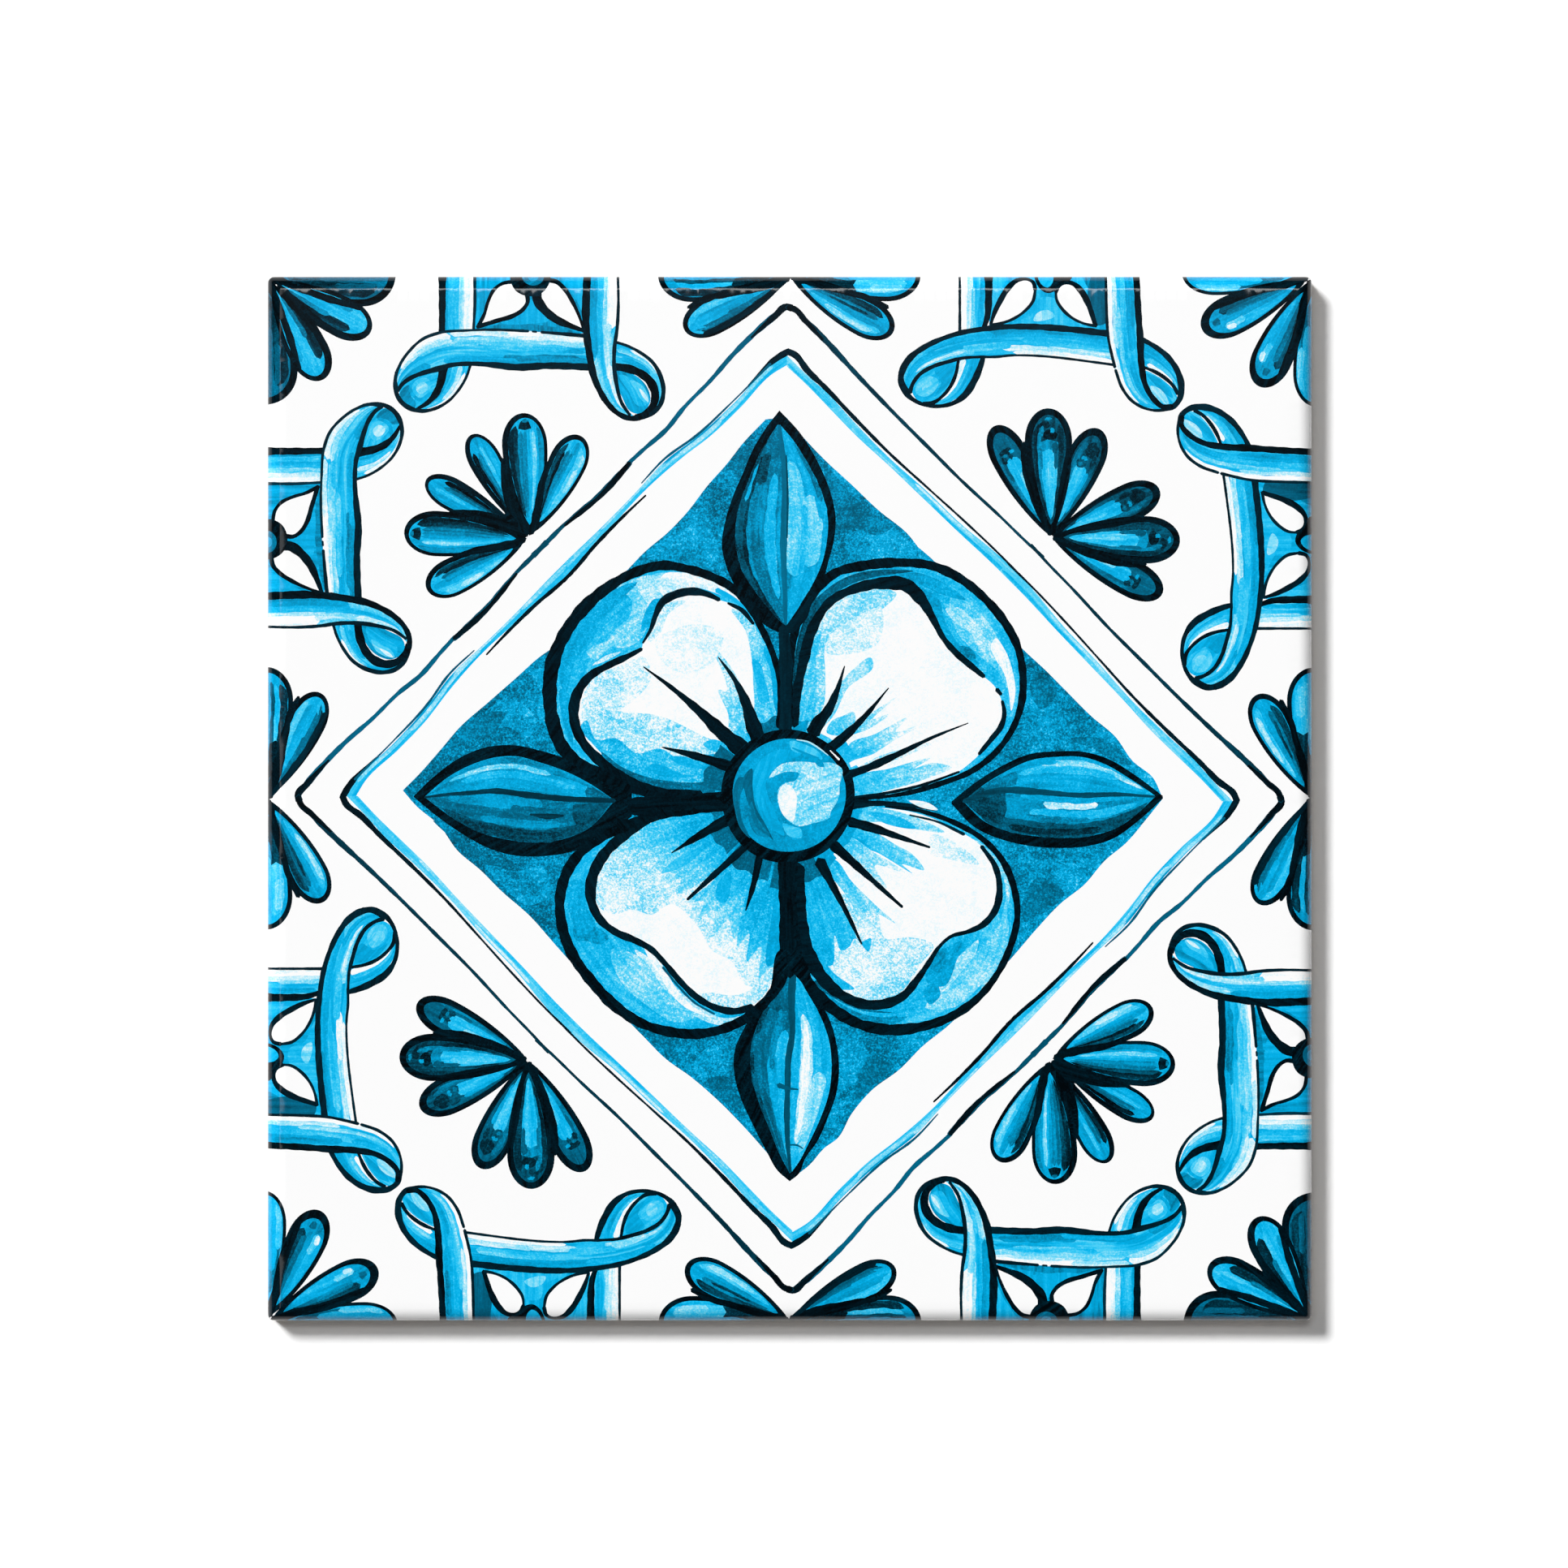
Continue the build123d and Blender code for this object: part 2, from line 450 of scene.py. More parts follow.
def paint_light_right_loop(art):
    """The right leg, on top of the bar, and the loop that the bar's end makes under it."""
    outer = [(12.9, -9.7), (14.2, -10.1), (16.2, -11.1), (18.2, -12.7), (19.3, -14.7), (19.7, -17),
             (19.1, -19), (17.8, -20.2), (16, -20.7), (14.6, -20.6)]
    inner = [(12.5, -13.2), (14.5, -13.5), (16.5, -14.3), (17.9, -15.6), (18.5, -17.4), (18, -19.2),
             (16.8, -20.2), (15.6, -20.5)]
    band = ribbon(smooth(outer), smooth(inner))
    paint_strip(art, band, 0.34, 0.12,
                [(-0.9, -0.6, 0.12, 0.5, 0.02), (-0.6, -0.2, 0, 0.45, 0.22), (0, 0.5, 0.05, 0.4, 0.42),
                 (0.3, 0.9, 0.4, 0.9, 0.30)])
    eye = [(12.6, -13.6), (14.5, -14), (16.3, -15), (17.5, -16.6), (17.8, -18.2), (17, -19.6),
           (15.9, -20.1), (14.8, -19.7), (13.8, -18), (13, -16)]
    look = Follow(smooth([(13.2, -14), (15.2, -16.6), (16.4, -19.6)]))
    art.dab(eye, 0.48, flow=look, streak=0.12)
    art.dab([(13.2, -14.4), (15.2, -15), (16.8, -17), (17.2, -18.8), (16.2, -19), (14.6, -16.8)], 0.36,
            flow=look)
    art.dab([(14.8, -15.2), (16.4, -15.8), (17.4, -17.4), (17.5, -18.6), (16.6, -18.2), (15.6, -16.6)],
            0.24, flow=look)
    art.dab([(16.2, -16.4), (17.2, -17.4), (17.5, -18.4), (16.8, -17.8)], 0.10, flow=look)
    art.ink(inner, (0.8, 0.95, 1, 0.95, 0.9, 0.7, 0.5))
    art.ink(outer, (0.35, 0.35, 0.4, 0.5, 0.55, 0.5, 0.5), 0.92)

    leg = ribbon(smooth([(8.9, 1.5), (8.8, -8.5), (9.2, -12), (9.7, -14.5), (10.5, -16.5), (11.7, -18.4),
                         (13.2, -19.9), (15.4, -20.6)]),
                 smooth([(13, 1.5), (13.1, -5), (12.9, -8), (12.6, -10), (12.6, -13), (12.9, -16),
                         (13.6, -18.5), (15.2, -20.3)]), 64)
    paint_strip(art, leg, 0.30, 0.12,
                [(-1, -0.35, 0, 0.55, 0.48), (-0.4, 0, 0, 0.62, 0.36), (0.02, 0.32, 0, 0.44, 0.14),
                 (0.28, 0.97, 0, 0.40, 0), (0.1, 0.6, 0.36, 0.72, 0.16), (0.55, 0.95, 0.42, 0.66, 0.24),
                 (0.2, 0.7, 0.62, 0.96, 0.10), (-0.9, -0.3, 0.55, 0.95, 0.20),
                 (-0.3, 0.1, 0.6, 0.92, 0.34)])
    art.ink([(8.6, 1.5), (8.5, -8.5), (9, -12), (9.5, -14.5), (10.3, -16.5), (11.5, -18.5), (13, -20),
             (14.5, -20.7), (16.2, -20.7), (17.4, -20.2)], (0.8, 0.85, 0.9, 0.8, 0.75, 0.7, 0.6, 0.5))
    art.ink([(13, 1.5), (13.1, -5), (12.9, -8), (12.6, -10), (12.5, -13), (12.9, -16), (13.6, -18.5),
             (14.8, -20.3)], (0.32, 0.3, 0.35, 0.45, 0.5, 0.4, 0.35), 0.93)


paint_light_field(light_frame)
paint_light_ribbon(light_frame)
print(f"light ribbon frame: {len(light_frame.coats)} coats")

# %% [markdown]
# The second frame has its light from the other side: here the bar is dark along its top edge and
# white along the lower one.

# %% The dark ribbon frame
dark_frame = Painting(weight=1.2)


def paint_dark_field(art):
    """The field of the second frame, its eye and its petals."""
    down = Straight((0, 1), (0, -8))
    art.fill([(-9, 1.5), (8.2, 1.5), (8.2, -8), (-9, -7.6)], 0.40, flow=down, streak=0.10)
    art.dab([(-8.8, 1.2), (-6.2, 1.2), (-7, -1.6), (-8.2, -4.6), (-8.9, -6)], 0.34, flow=down)
    art.dab([(4.5, 1.2), (8.1, 1.2), (8, -6.6), (7, -6), (6.2, -3), (4.8, -0.6)], 0.56, flow=down,
            streak=0.12)
    art.dab([(7.1, 1), (7.9, 1), (7.8, -7), (7.2, -7.2)], 0.72, flow=down)
    art.dab([(-1.6, -3.2), (0.4, -3.2), (2.4, -5.2), (5, -7.1), (-0.4, -7), (-5.6, -6.9), (-2.6, -5.4)],
            0.34, flow=down)
    art.dab([(-2.2, -5.6), (-0.4, -5), (0.6, -5.8), (-0.6, -6.4), (-2.6, -6.4)], 0.18, flow=down)
    left = [(-2.3, -2), (-2.6, -0.9), (-3.6, -0.4), (-4.9, -0.6), (-6.2, -1.7), (-7.4, -3.6),
            (-8.3, -5.5), (-8.8, -7.1)]
    back = [(-8.8, -7.1), (-7.3, -6.9), (-5.4, -6.2), (-3.7, -5), (-2.6, -3.6), (-2.3, -2)]
    art.spare(left, back)
    art.ink(left, (0.5, 0.4, 0.5, 0.7, 0.8, 0.7, 0.5, 0.35), 0.95)
    art.ink(back, (0.35, 0.35, 0.4, 0.4, 0.35), 0.93)
    left = [(0.7, -2.4), (1.2, -1.4), (2.1, -0.9), (3.2, -1.1), (4.4, -2.2), (5.4, -4), (6.1, -6),
            (6.5, -7.3)]
    back = [(6.5, -7.3), (5, -7), (3.2, -6.2), (1.7, -4.9), (0.8, -3.4), (0.7, -2.4)]
    art.spare(left, back)
    art.ink(left, (0.4, 0.5, 0.7, 0.8, 0.7, 0.6, 0.5), 0.96)
    art.ink(back, (0.35, 0.35, 0.4, 0.4, 0.3), 0.93)
    art.fill(smooth([(-2.4, 1.2), (-2.3, -0.6), (-1.6, -1.9), (-0.6, -2.5), (0.6, -2.2), (1.6, -1.2),
                     (3, -0.4), (3.2, 1.2)]), INK)
    art.dab([(-1.9, 1), (-1.8, -0.5), (-1.2, -1.4), (-0.5, -1.7), (0.1, -1.2), (0.4, -0.2), (0.4, 1)], 0.36)


def paint_dark_ribbon(art):
    """Left leg, the bar over it with its loop, and the right leg over the bar."""
    leg = ribbon(smooth([(-13.3, 1.5), (-13.4, -8.6)]), smooth([(-9.2, 1.5), (-9.4, -8.2)]))
    paint_strip(art, leg, 0.32, 0.12,
                [(-1, -0.35, 0, 1, 0), (-0.45, -0.05, 0, 1, 0.10), (-0.15, 0.1, 0.3, 1, 0.20),
                 (0.45, 0.8, 0, 0.9, 0.42)])
    art.ink([(-13.3, 1.5), (-13.3, -8.3)], (0.32, 0.35), 0.93)
    art.ink([(-9.1, 1.5), (-9.1, -3), (-9.3, -6), (-9.9, -7.9)], (1, 0.95, 0.85, 0.6))

    outer = [(-21.8, -14), (-21.9, -15.4), (-21.2, -17), (-20, -18.1), (-18.4, -18.8), (-16.4, -19),
             (-14.4, -18.6), (-12.6, -17.4), (-11.2, -15.3), (-10.3, -13.2), (-9.9, -11.9)]
    tail = ribbon(smooth([(-13.2, -12), (-13.8, -14), (-14.7, -16), (-16, -17.6), (-18.4, -18.7)]),
                  smooth([(-10.2, -11.8), (-10.7, -13.6), (-11.8, -15.7), (-13.2, -17.4), (-15.2, -18.6),
                          (-18.4, -18.9)]))
    paint_strip(art, tail, 0.36, 0.10,
                [(-0.95, -0.35, 0, 0.92, 0), (-0.35, 0.05, 0.05, 0.7, 0.28), (0.2, 0.5, 0.1, 0.8, 0.44)])
    eye = [(-20.3, -16.6), (-19.8, -15.2), (-18.2, -13.9), (-16, -13), (-13.7, -12.4), (-13.9, -14.2),
           (-14.9, -16.3), (-16.6, -18), (-18.3, -18.5), (-19.7, -17.9)]
    look = Follow(smooth([(-19.6, -17.2), (-16.6, -15.2), (-13.9, -12.8)]))
    art.dab(eye, 0.36, flow=look, streak=0.08)
    art.dab([(-17, -13.8), (-14.2, -12.9), (-14.4, -14.6), (-15.6, -16.6), (-17, -17.6), (-16, -15.6)],
            0.46, flow=look)
    art.dab([(-19.6, -15.8), (-18, -14.6), (-16.4, -15.2), (-17, -16.8), (-18.4, -17.6), (-19.6, -17.2)],
            0.27, flow=look)
    art.dab([(-18.8, -16), (-17.8, -15.2), (-17.2, -15.8), (-17.8, -17.2), (-18.6, -17)], 0.21, flow=look)

    top = [(9.4, -8.5), (7.9, -8.35), (4, -7.9), (0, -7.55), (-3, -7.4), (-7, -7.45), (-10, -7.75),
           (-13.4, -8.35), (-16, -9.2), (-18.5, -10.4), (-20.5, -11.9), (-21.6, -13.6), (-21.9, -15.2),
           (-21, -17)]
    under = [(9.4, -13), (5, -12.4), (1, -11.9), (-3, -11.6), (-6, -11.6), (-8, -11.8), (-10.3, -11.8),
             (-13, -12), (-15, -12.5), (-17.2, -13.2), (-19.2, -14.4), (-20.2, -15.8), (-20.6, -17)]
    bar = ribbon(smooth(under), smooth(top), 64)
    paint_strip(art, bar, 0.34, 0.12,
                [(0.3, 0.95, 0, 0.55, 0.44), (0.55, 0.9, 0.05, 0.3, 0.52), (0.3, 0.85, 0.5, 0.8, 0.40),
                 (-0.98, -0.62, 0, 0.46, 0), (-0.62, -0.28, 0, 0.30, 0.14),
                 (-0.7, -0.3, 0.28, 0.50, 0.10), (-0.8, -0.25, 0.62, 0.82, 0.20),
                 (-0.6, -0.35, 0.66, 0.9, 0.12), (-0.5, 0, 0.45, 0.66, 0.30),
                 (-0.2, 0.3, 0.05, 0.4, 0.30), (0, 0.35, 0.75, 0.97, 0.44), (0.4, 0.8, 0.8, 1, 0.28)])
    art.ink(top, (0.85, 0.85, 0.75, 0.75, 0.7, 0.6, 0.6, 0.7, 0.8, 0.8), 0.93)
    art.ink(under[:7], (0.35, 0.3, 0.3, 0.35), 0.93)
    art.ink(under[6:], (0.35, 0.4, 0.5, 0.5, 0.55), 0.95)
    art.ink([(-13.5, -12.2), (-13.8, -14), (-14.6, -16), (-15.7, -17.4), (-17, -18.4), (-18.6, -18.7)],
            (0.35, 0.45, 0.4, 0.45, 0.6), 0.95)
    art.ink(outer, (0.75, 0.7, 0.6, 0.5, 0.45, 0.5, 0.6, 0.8, 0.9, 0.8, 0.6), 0.94)

    paint_dark_right_loop(art)


def paint_dark_right_loop(art):
    """The right leg of the second frame and its loop."""
    outer = [(13, -9.1), (15, -10.2), (17, -11.8), (18.4, -13.8), (19, -16), (18.8, -17.8), (17.9, -19),
             (16.6, -19.4)]
    inner = [(13.5, -13.3), (15, -13.9), (16.5, -14.8), (17.8, -16), (18.5, -17.2)]
    band = ribbon(smooth(outer[:6]), smooth(inner))
    paint_strip(art, band, 0.38, 0.12,
                [(-0.9, -0.2, 0, 0.6, 0.46), (0.55, 0.95, 0.08, 0.75, 0), (0.1, 0.5, 0.1, 0.9, 0.24)])
    eye = [(13.6, -13.8), (15.3, -14.5), (17, -15.7), (18.2, -17.1), (18.4, -18.2), (17.4, -18.9),
           (16, -18.6), (14.9, -17.6), (14, -15.8)]
    look = Follow(smooth([(14, -14.2), (16, -16.4), (17.6, -18.6)]))
    art.dab(eye, 0.34, flow=look, streak=0.10)
    art.dab([(14, -14.2), (15.8, -15), (17.4, -16.6), (17.8, -17.8), (16.2, -16.8)], 0.46, flow=look)
    art.dab([(14.6, -16), (15.4, -16.2), (17, -18), (17.2, -18.7), (16, -18.4)], 0.16, flow=look)
    art.ink(inner, (0.35, 0.5, 0.4, 0.5), 0.95)
    art.ink(outer, (0.5, 0.65, 0.75, 0.8, 0.7, 0.6), 0.92)

    leg = ribbon(smooth([(8, 1.5), (8.1, -5), (8.3, -9), (9, -12.4), (9.6, -14.5), (10.6, -16.6),
                         (12, -18.3), (14, -19.2), (16.4, -19.5)]),
                 smooth([(12.3, 1.5), (12.6, -5), (12.9, -9), (13.1, -13), (13.7, -16), (14.9, -18.2),
                         (16.4, -19.3)]), 64)
    paint_strip(art, leg, 0.35, 0.10,
                [(-0.98, -0.62, 0, 0.85, 0), (-0.62, -0.34, 0, 0.5, 0.12), (-0.4, -0.1, 0.25, 0.9, 0.22),
                 (0.2, 0.75, 0.02, 0.55, 0.44), (0.45, 0.8, 0.1, 0.4, 0.52),
                 (-0.1, 0.25, 0.05, 0.7, 0.32), (0.1, 0.6, 0.6, 0.97, 0.44)])
    art.ink([(8, 1.5), (8.1, -5), (8.35, -9), (9.1, -12.5), (9.3, -13.3)], (0.35, 0.35, 0.35, 0.4), 0.93)
    art.ink([(9.4, -13.7), (10.4, -16.4), (11.9, -18.3), (14, -19.4), (16, -19.6), (17.6, -19.2)],
            (0.35, 0.4, 0.35, 0.35, 0.5), 0.93)
    art.ink([(12.4, 1.5), (12.7, -5), (13, -9), (13.2, -13), (13.8, -16), (15, -18), (16.4, -19.1),
             (17.6, -19)], (0.7, 0.8, 0.85, 0.85, 0.75, 0.7, 0.6))


paint_dark_field(dark_frame)
paint_dark_ribbon(dark_frame)
print(f"dark ribbon frame: {len(dark_frame.coats)} coats")

# %% [markdown]
# ## Palmettes
# A palmette of six petals stands between the frames and the lozenge, and quarter and half ones
# open from the corners and from the middle of each side. Only three petals of each are painted;
# the mirrored stamp gives the others. Each petal has its dark lane on the side away from the
# light, so the two kinds of palmette differ in where their lanes lie.

# %% Light palmette
light_palmette = Painting()


def paint_light_palmette(art):
    """Three petals with their dark lanes on the left and light ones on the right."""
    art.fill(smooth([(-0.4, 0.4), (-3.2, 3), (-3.6, 8), (-2.2, 9), (0.4, 3), (1.2, 2.2), (0.4, 0.4)]), INK)
    petal(art, (-0.5, 1), (-8.4, 14.9), 2.35, (0.81, 0.46, 0.58), 0.46, [
        (-1, -0.5, 0.04, 0.86, 0.93), (-0.62, -0.25, 0.04, 0.8, 0.72), (-0.45, -0.1, 0.3, 0.84, 0.60),
        (-0.1, 0.45, 0.12, 0.93, 0.40), (0.3, 0.85, 0.10, 0.9, 0.44), (0, 0.3, 0.55, 0.9, 0.28)])
    petal(art, (0.9, 0.8), (7.6, 14.8), 2.75, (0.81, 0.46, 0.7), 0.36, [
        (-1, -0.62, 0, 0.92, 0.80), (-0.72, -0.48, 0.05, 0.82, 0.92), (-0.5, -0.2, 0.04, 0.86, 0.62),
        (-0.3, 0.1, 0.08, 0.84, 0.54), (0.05, 0.4, 0.05, 0.9, 0.40), (0.35, 0.7, 0.2, 0.94, 0.28),
        (0.5, 0.95, 0.12, 0.88, 0.24), (-0.2, 0.3, 0.82, 0.98, 0.50), (0.55, 0.9, 0.4, 0.7, 0.16)])
    petal(art, (0.2, 0.2), (-0.8, 18.1), 3.3, (0.93, 0.46, 0.7), 0.42, [
        (-1, -0.55, 0.06, 0.93, 0.90), (-0.68, -0.42, 0.1, 0.90, 0.80), (-0.46, -0.18, 0.06, 0.88, 0.60),
        (-0.2, 0.1, 0.10, 0.88, 0.56), (0.05, 0.26, 0.04, 0.9, 0.46), (0.22, 0.42, 0.06, 0.9, 0.36),
        (0.36, 0.60, 0.14, 0.88, 0.22), (0.58, 0.78, 0.2, 0.9, 0.42), (0.72, 1, 0.3, 0.92, 0.54),
        (-0.5, 0.4, 0.885, 0.985, 0.90), (-0.3, 0.3, 0.955, 0.99, 0.62)])
    art.ink([(-3.8, 11.4), (-3.5, 8), (-2.8, 5.2), (-1.6, 2.6), (-0.3, 0.5)], (0.5, 0.9, 1.2, 1.8, 1.2))
    art.ink([(2.6, 10.3), (2, 8), (1.5, 5), (1, 2.4), (0.4, 0.6)], (0.4, 0.9, 1.2, 1.3, 0.8))


paint_light_palmette(light_palmette)

# %% Dark palmette
dark_palmette = Painting()


def blotches(art, strip, places):
    """Round darker spots where a wash has pooled: across, along, half width, half length, tone."""
    for across, along, wide, long, tone in places:
        turn = np.linspace(0, 2 * math.pi, 18, endpoint=False)
        edge = strip.at(across + wide * np.cos(turn), np.clip(along + long * np.sin(turn), 0, 0.99))
        edge += wobble(turn * 4, 0.12)[:, None]
        art.fill(edge, tone, flow=strip.flow, streak=0.05, grain=0.08)


def paint_dark_palmette(art):
    """Three petals with thick dark tips, blotches below them and a bright heart."""
    side = petal(art, (-0.2, 0.3), (-8.3, 16.2), 2.7, (0.85, 0.95, 1.15), 0.68, [
        (-0.95, -0.3, 0.12, 0.76, 0.58), (-0.5, 0.66, 0.04, 0.74, 0.34), (-0.05, 0.62, 0.30, 0.56, 0.20),
        (-0.3, 0.1, 0.1, 0.62, 0.36), (-0.8, -0.5, 0.5, 0.8, 0.70)])
    blotches(art, side,
             [(-0.1, 0.80, 0.6, 0.035, 0.87), (0.35, 0.785, 0.22, 0.018, 0.46),
              (-0.5, 0.73, 0.22, 0.04, 0.84), (0.1, 0.74, 0.16, 0.03, 0.80),
              (-0.3, 0.77, 0.2, 0.015, 0.60)])
    side = petal(art, (0.2, 0.2), (7, 15.8), 2.75, (0.8, 0.8, 1.15), 0.76, [
        (-0.9, -0.4, 0.1, 0.86, 0.62), (-0.55, 0.4, 0.04, 0.68, 0.34), (0.35, 0.75, 0.15, 0.62, 0.44),
        (0.7, 0.95, 0.2, 0.9, 0.72), (-0.3, 0.1, 0.12, 0.5, 0.30)])
    blotches(art, side,
             [(0.25, 0.85, 0.62, 0.085, 0.88), (-0.2, 0.69, 0.4, 0.05, 0.78),
              (-0.1, 0.745, 0.25, 0.02, 0.50), (0.62, 0.74, 0.2, 0.08, 0.84),
              (-0.25, 0.68, 0.2, 0.02, 0.62), (-0.5, 0.86, 0.2, 0.05, 0.66)])
    heart = petal(art, (0, 0.2), (-0.5, 18.8), 3.45, (1.05, 0.9, 0.95), 0.78, [
        (-0.98, -0.66, 0.12, 0.92, 0.86), (-0.7, -0.45, 0.2, 0.86, 0.58), (0.5, 0.98, 0.15, 0.9, 0.82),
        (-0.55, 0.55, 0.56, 0.78, 0.55), (-0.52, 0.5, 0.05, 0.69, 0.33), (-0.1, 0.3, 0.16, 0.6, 0.27),
        (-0.6, -0.4, 0.5, 0.72, 0.60), (0.3, 0.52, 0.5, 0.76, 0.70)])
    blotches(art, heart,
             [(0.1, 0.82, 0.45, 0.05, 0.93), (-0.3, 0.91, 0.45, 0.035, 0.90),
              (0.35, 0.70, 0.2, 0.05, 0.74), (0, 0.965, 0.4, 0.015, 0.52),
              (0.25, 0.86, 0.14, 0.025, 0.48), (-0.45, 0.85, 0.16, 0.05, 0.60)])
    art.ink([(-3.9, 13.5), (-3.7, 10.5), (-3.1, 7.4), (-2, 4.2), (-0.2, 0.4)], (1.1, 1.2, 1, 0.8, 0.5))
    art.ink([(2.6, 12.8), (2.1, 9.8), (1.5, 6.5), (0.9, 3.4), (0.2, 0.4)], (0.8, 1, 0.9, 0.6, 0.4))


paint_dark_palmette(dark_palmette)

# %% [markdown]
# The corner and side petals are the ends of palmettes that the next tiles complete. The petal on
# the tile's edge is painted whole, and the cutter trims it: only the half on the tile is kept.

# %% Corner and side petals
light_corner = Painting()
petal(light_corner, (0.3, 0.2), (18.7, 0), 4.5, (0.93, 1.04, 1.04), 0.68,
      [(-0.6, 0.9, 0.05, 0.6, 0.80), (0.3, 0.9, 0.1, 0.9, 0.86), (0.05, 0.3, 0.35, 0.93, 0.70),
       (-0.4, 0.05, 0.5, 0.95, 0.62), (0.35, 0.62, 0.5, 0.9, 0.72), (-0.2, 0, 0.72, 0.9, 0.46)])
petal(light_corner, (0.5, -0.5), (15.1, -8.2), 2.95, (0.58, 1.1, 0.87), 0.34,
      [(0.35, 1, 0, 0.86, 0.86), (0.2, 0.6, 0.1, 0.6, 0.60), (-0.9, -0.4, 0.1, 0.8, 0.50),
       (-0.5, 0, 0.05, 0.7, 0.42), (-0.3, 0.25, 0.3, 0.92, 0.36), (0, 0.35, 0.62, 0.9, 0.30)])
light_corner.ink([(0.6, -0.4), (5, -1.9), (9.5, -3.5), (13.6, -4.6)], (0.7, 1, 1.1, 0.8))
light_corner.ink([(0.6, -0.6), (4.5, -4.2), (8.5, -7.4), (11.5, -8.9)], (0.8, 1.4, 1.1, 0.9))

dark_corner = Painting()
petal(dark_corner, (-0.8, 0.2), (-18.9, 0.2), 3, (0.46, 0.58, 0.58), 0.42,
      [(-0.9, -0.3, 0.1, 0.6, 0.64), (-0.7, -0.2, 0.3, 0.9, 0.38), (-0.95, -0.6, 0.5, 0.92, 0.28),
       (-0.1, 0.4, 0.1, 0.9, 0.54)])
petal(dark_corner, (-0.9, -0.6), (-16.1, -7.8), 2.95, (0.64, 0.87, 1.28), 0.50,
      [(0.3, 0.95, 0.06, 0.86, 0.80), (0, 0.5, 0.1, 0.8, 0.62), (-0.4, 0.1, 0.1, 0.9, 0.48),
       (-0.95, -0.3, 0.1, 0.86, 0.38), (-0.7, -0.3, 0.62, 0.86, 0.22), (-0.75, -0.45, 0.74, 0.85, 0.08),
       (-0.2, 0.4, 0.88, 0.97, 0.66)])
dark_corner.ink([(-0.8, -0.3), (-4.5, -1.4), (-8.5, -2.4), (-12, -3.6), (-14.4, -4.6)],
                (0.9, 1.2, 0.9, 1, 0.9))

light_side = Painting()
petal(light_side, (-0.3, 0.3), (-19.2, 0.1), 3.95, (0.7, 0.7, 0.81), 0.50,
      [(-0.98, -0.6, 0.06, 0.9, 0.86), (-0.62, -0.4, 0.3, 0.9, 0.34), (-0.4, -0.15, 0.2, 0.92, 0.76),
       (-0.2, 0.3, 0.25, 0.94, 0.50), (-0.9, -0.2, 0, 0.4, 0.92)])
petal(light_side, (-0.4, -0.5), (-15.4, -7.8), 2.8, (0.58, 0.81, 0.7), 0.42,
      [(0.35, 1, 0, 1, 0.30), (-0.95, -0.5, 0.04, 0.9, 0.88), (-0.6, -0.1, 0.04, 0.86, 0.62),
       (-0.2, 0.5, 0.25, 0.92, 0.46), (0.55, 0.95, 0.5, 0.92, 0.26), (-0.3, 0.1, 0.55, 0.93, 0.42),
       (-0.7, -0.5, 0.3, 0.95, 0.66)])
light_side.ink([(-0.3, -0.2), (-4.5, -1.6), (-9, -2.7), (-12.8, -3.4), (-14.8, -4.6)],
               (1.2, 1.6, 0.9, 0.8, 0.5))
light_side.ink([(-0.5, -0.6), (-4.6, -4), (-8.8, -6.8), (-12.4, -8.5)], (0.6, 0.9, 0.8, 0.8), 0.93)

dark_side = Painting()
petal(dark_side, (0.2, 0.3), (19.1, 0.1), 3.85, (0.58, 0.7, 0.7), 0.40,
      [(0.2, 0.95, 0, 0.5, 0.86), (-0.3, 0.3, 0.25, 0.9, 0.48), (0.25, 0.85, 0.45, 0.92, 0.28),
       (0.4, 0.8, 0.6, 0.88, 0.22), (0, 0.3, 0.4, 0.92, 0.34)])
petal(dark_side, (0.3, -0.4), (15.1, -8.2), 2.85, (0.7, 0.58, 0.81), 0.46,
      [(-0.95, -0.45, 0.05, 0.9, 0.82), (-0.5, -0.1, 0.1, 0.86, 0.62), (-0.35, -0.15, 0.3, 0.75, 0.84),
       (-0.1, 0.3, 0.1, 0.92, 0.48), (0.3, 0.85, 0.12, 0.94, 0.30), (0.5, 0.85, 0.3, 0.85, 0.18)])
dark_side.ink([(0.3, -0.2), (4.5, -1.2), (8.5, -2.4), (12, -3.4), (14.2, -4.6)], (0.7, 1.2, 1, 0.9, 0.7))
print(f"palmettes: {len(light_palmette.coats) + len(dark_palmette.coats)} coats")

# %% [markdown]
# ## The lozenge
# Two lines run round the lozenge: a thin ink line, and inside it a pale blue band that has a line
# of its own. A liner brush held against a ruler still swells and thins, so the widths change along
# each. In the middle lies the lozenge itself, one broad granular wash that the flower is set on.

# %% Lines round the lozenge
light_line = Painting(weight=1.15)
light_line.ink([(0.3, 71.5), (-0.4, 71.7), (-2, 70.5), (-8.2, 64.8), (-11.6, 60.9), (-15.5, 56.9),
                (-17.9, 53.9), (-21.3, 50.9), (-23.6, 48.8)], (0.9, 0.8, 0.7, 0.55, 0.5, 0.6, 0.6, 0.5),
               0.70)
light_line.ink([(0.3, 71.5), (-0.4, 71.7), (-2.2, 70.3), (-5.6, 67.2)], (1, 0.8, 0.6, 0.25))
light_line.ink([(-23.2, 49), (-25.2, 46.8), (-27.7, 44.2), (-30.6, 41.8), (-33, 39.8), (-34.8, 38),
                (-37.4, 35.4)], (0.6, 0.9, 0.75, 0.7, 0.5, 0.6, 0.7), 0.78)
light_line.ink([(-23.4, 48.9), (-25.2, 46.7), (-27.7, 44), (-30.6, 41.6), (-32.8, 39.8)],
               (0.5, 0.8, 0.6, 0.6, 0.3))
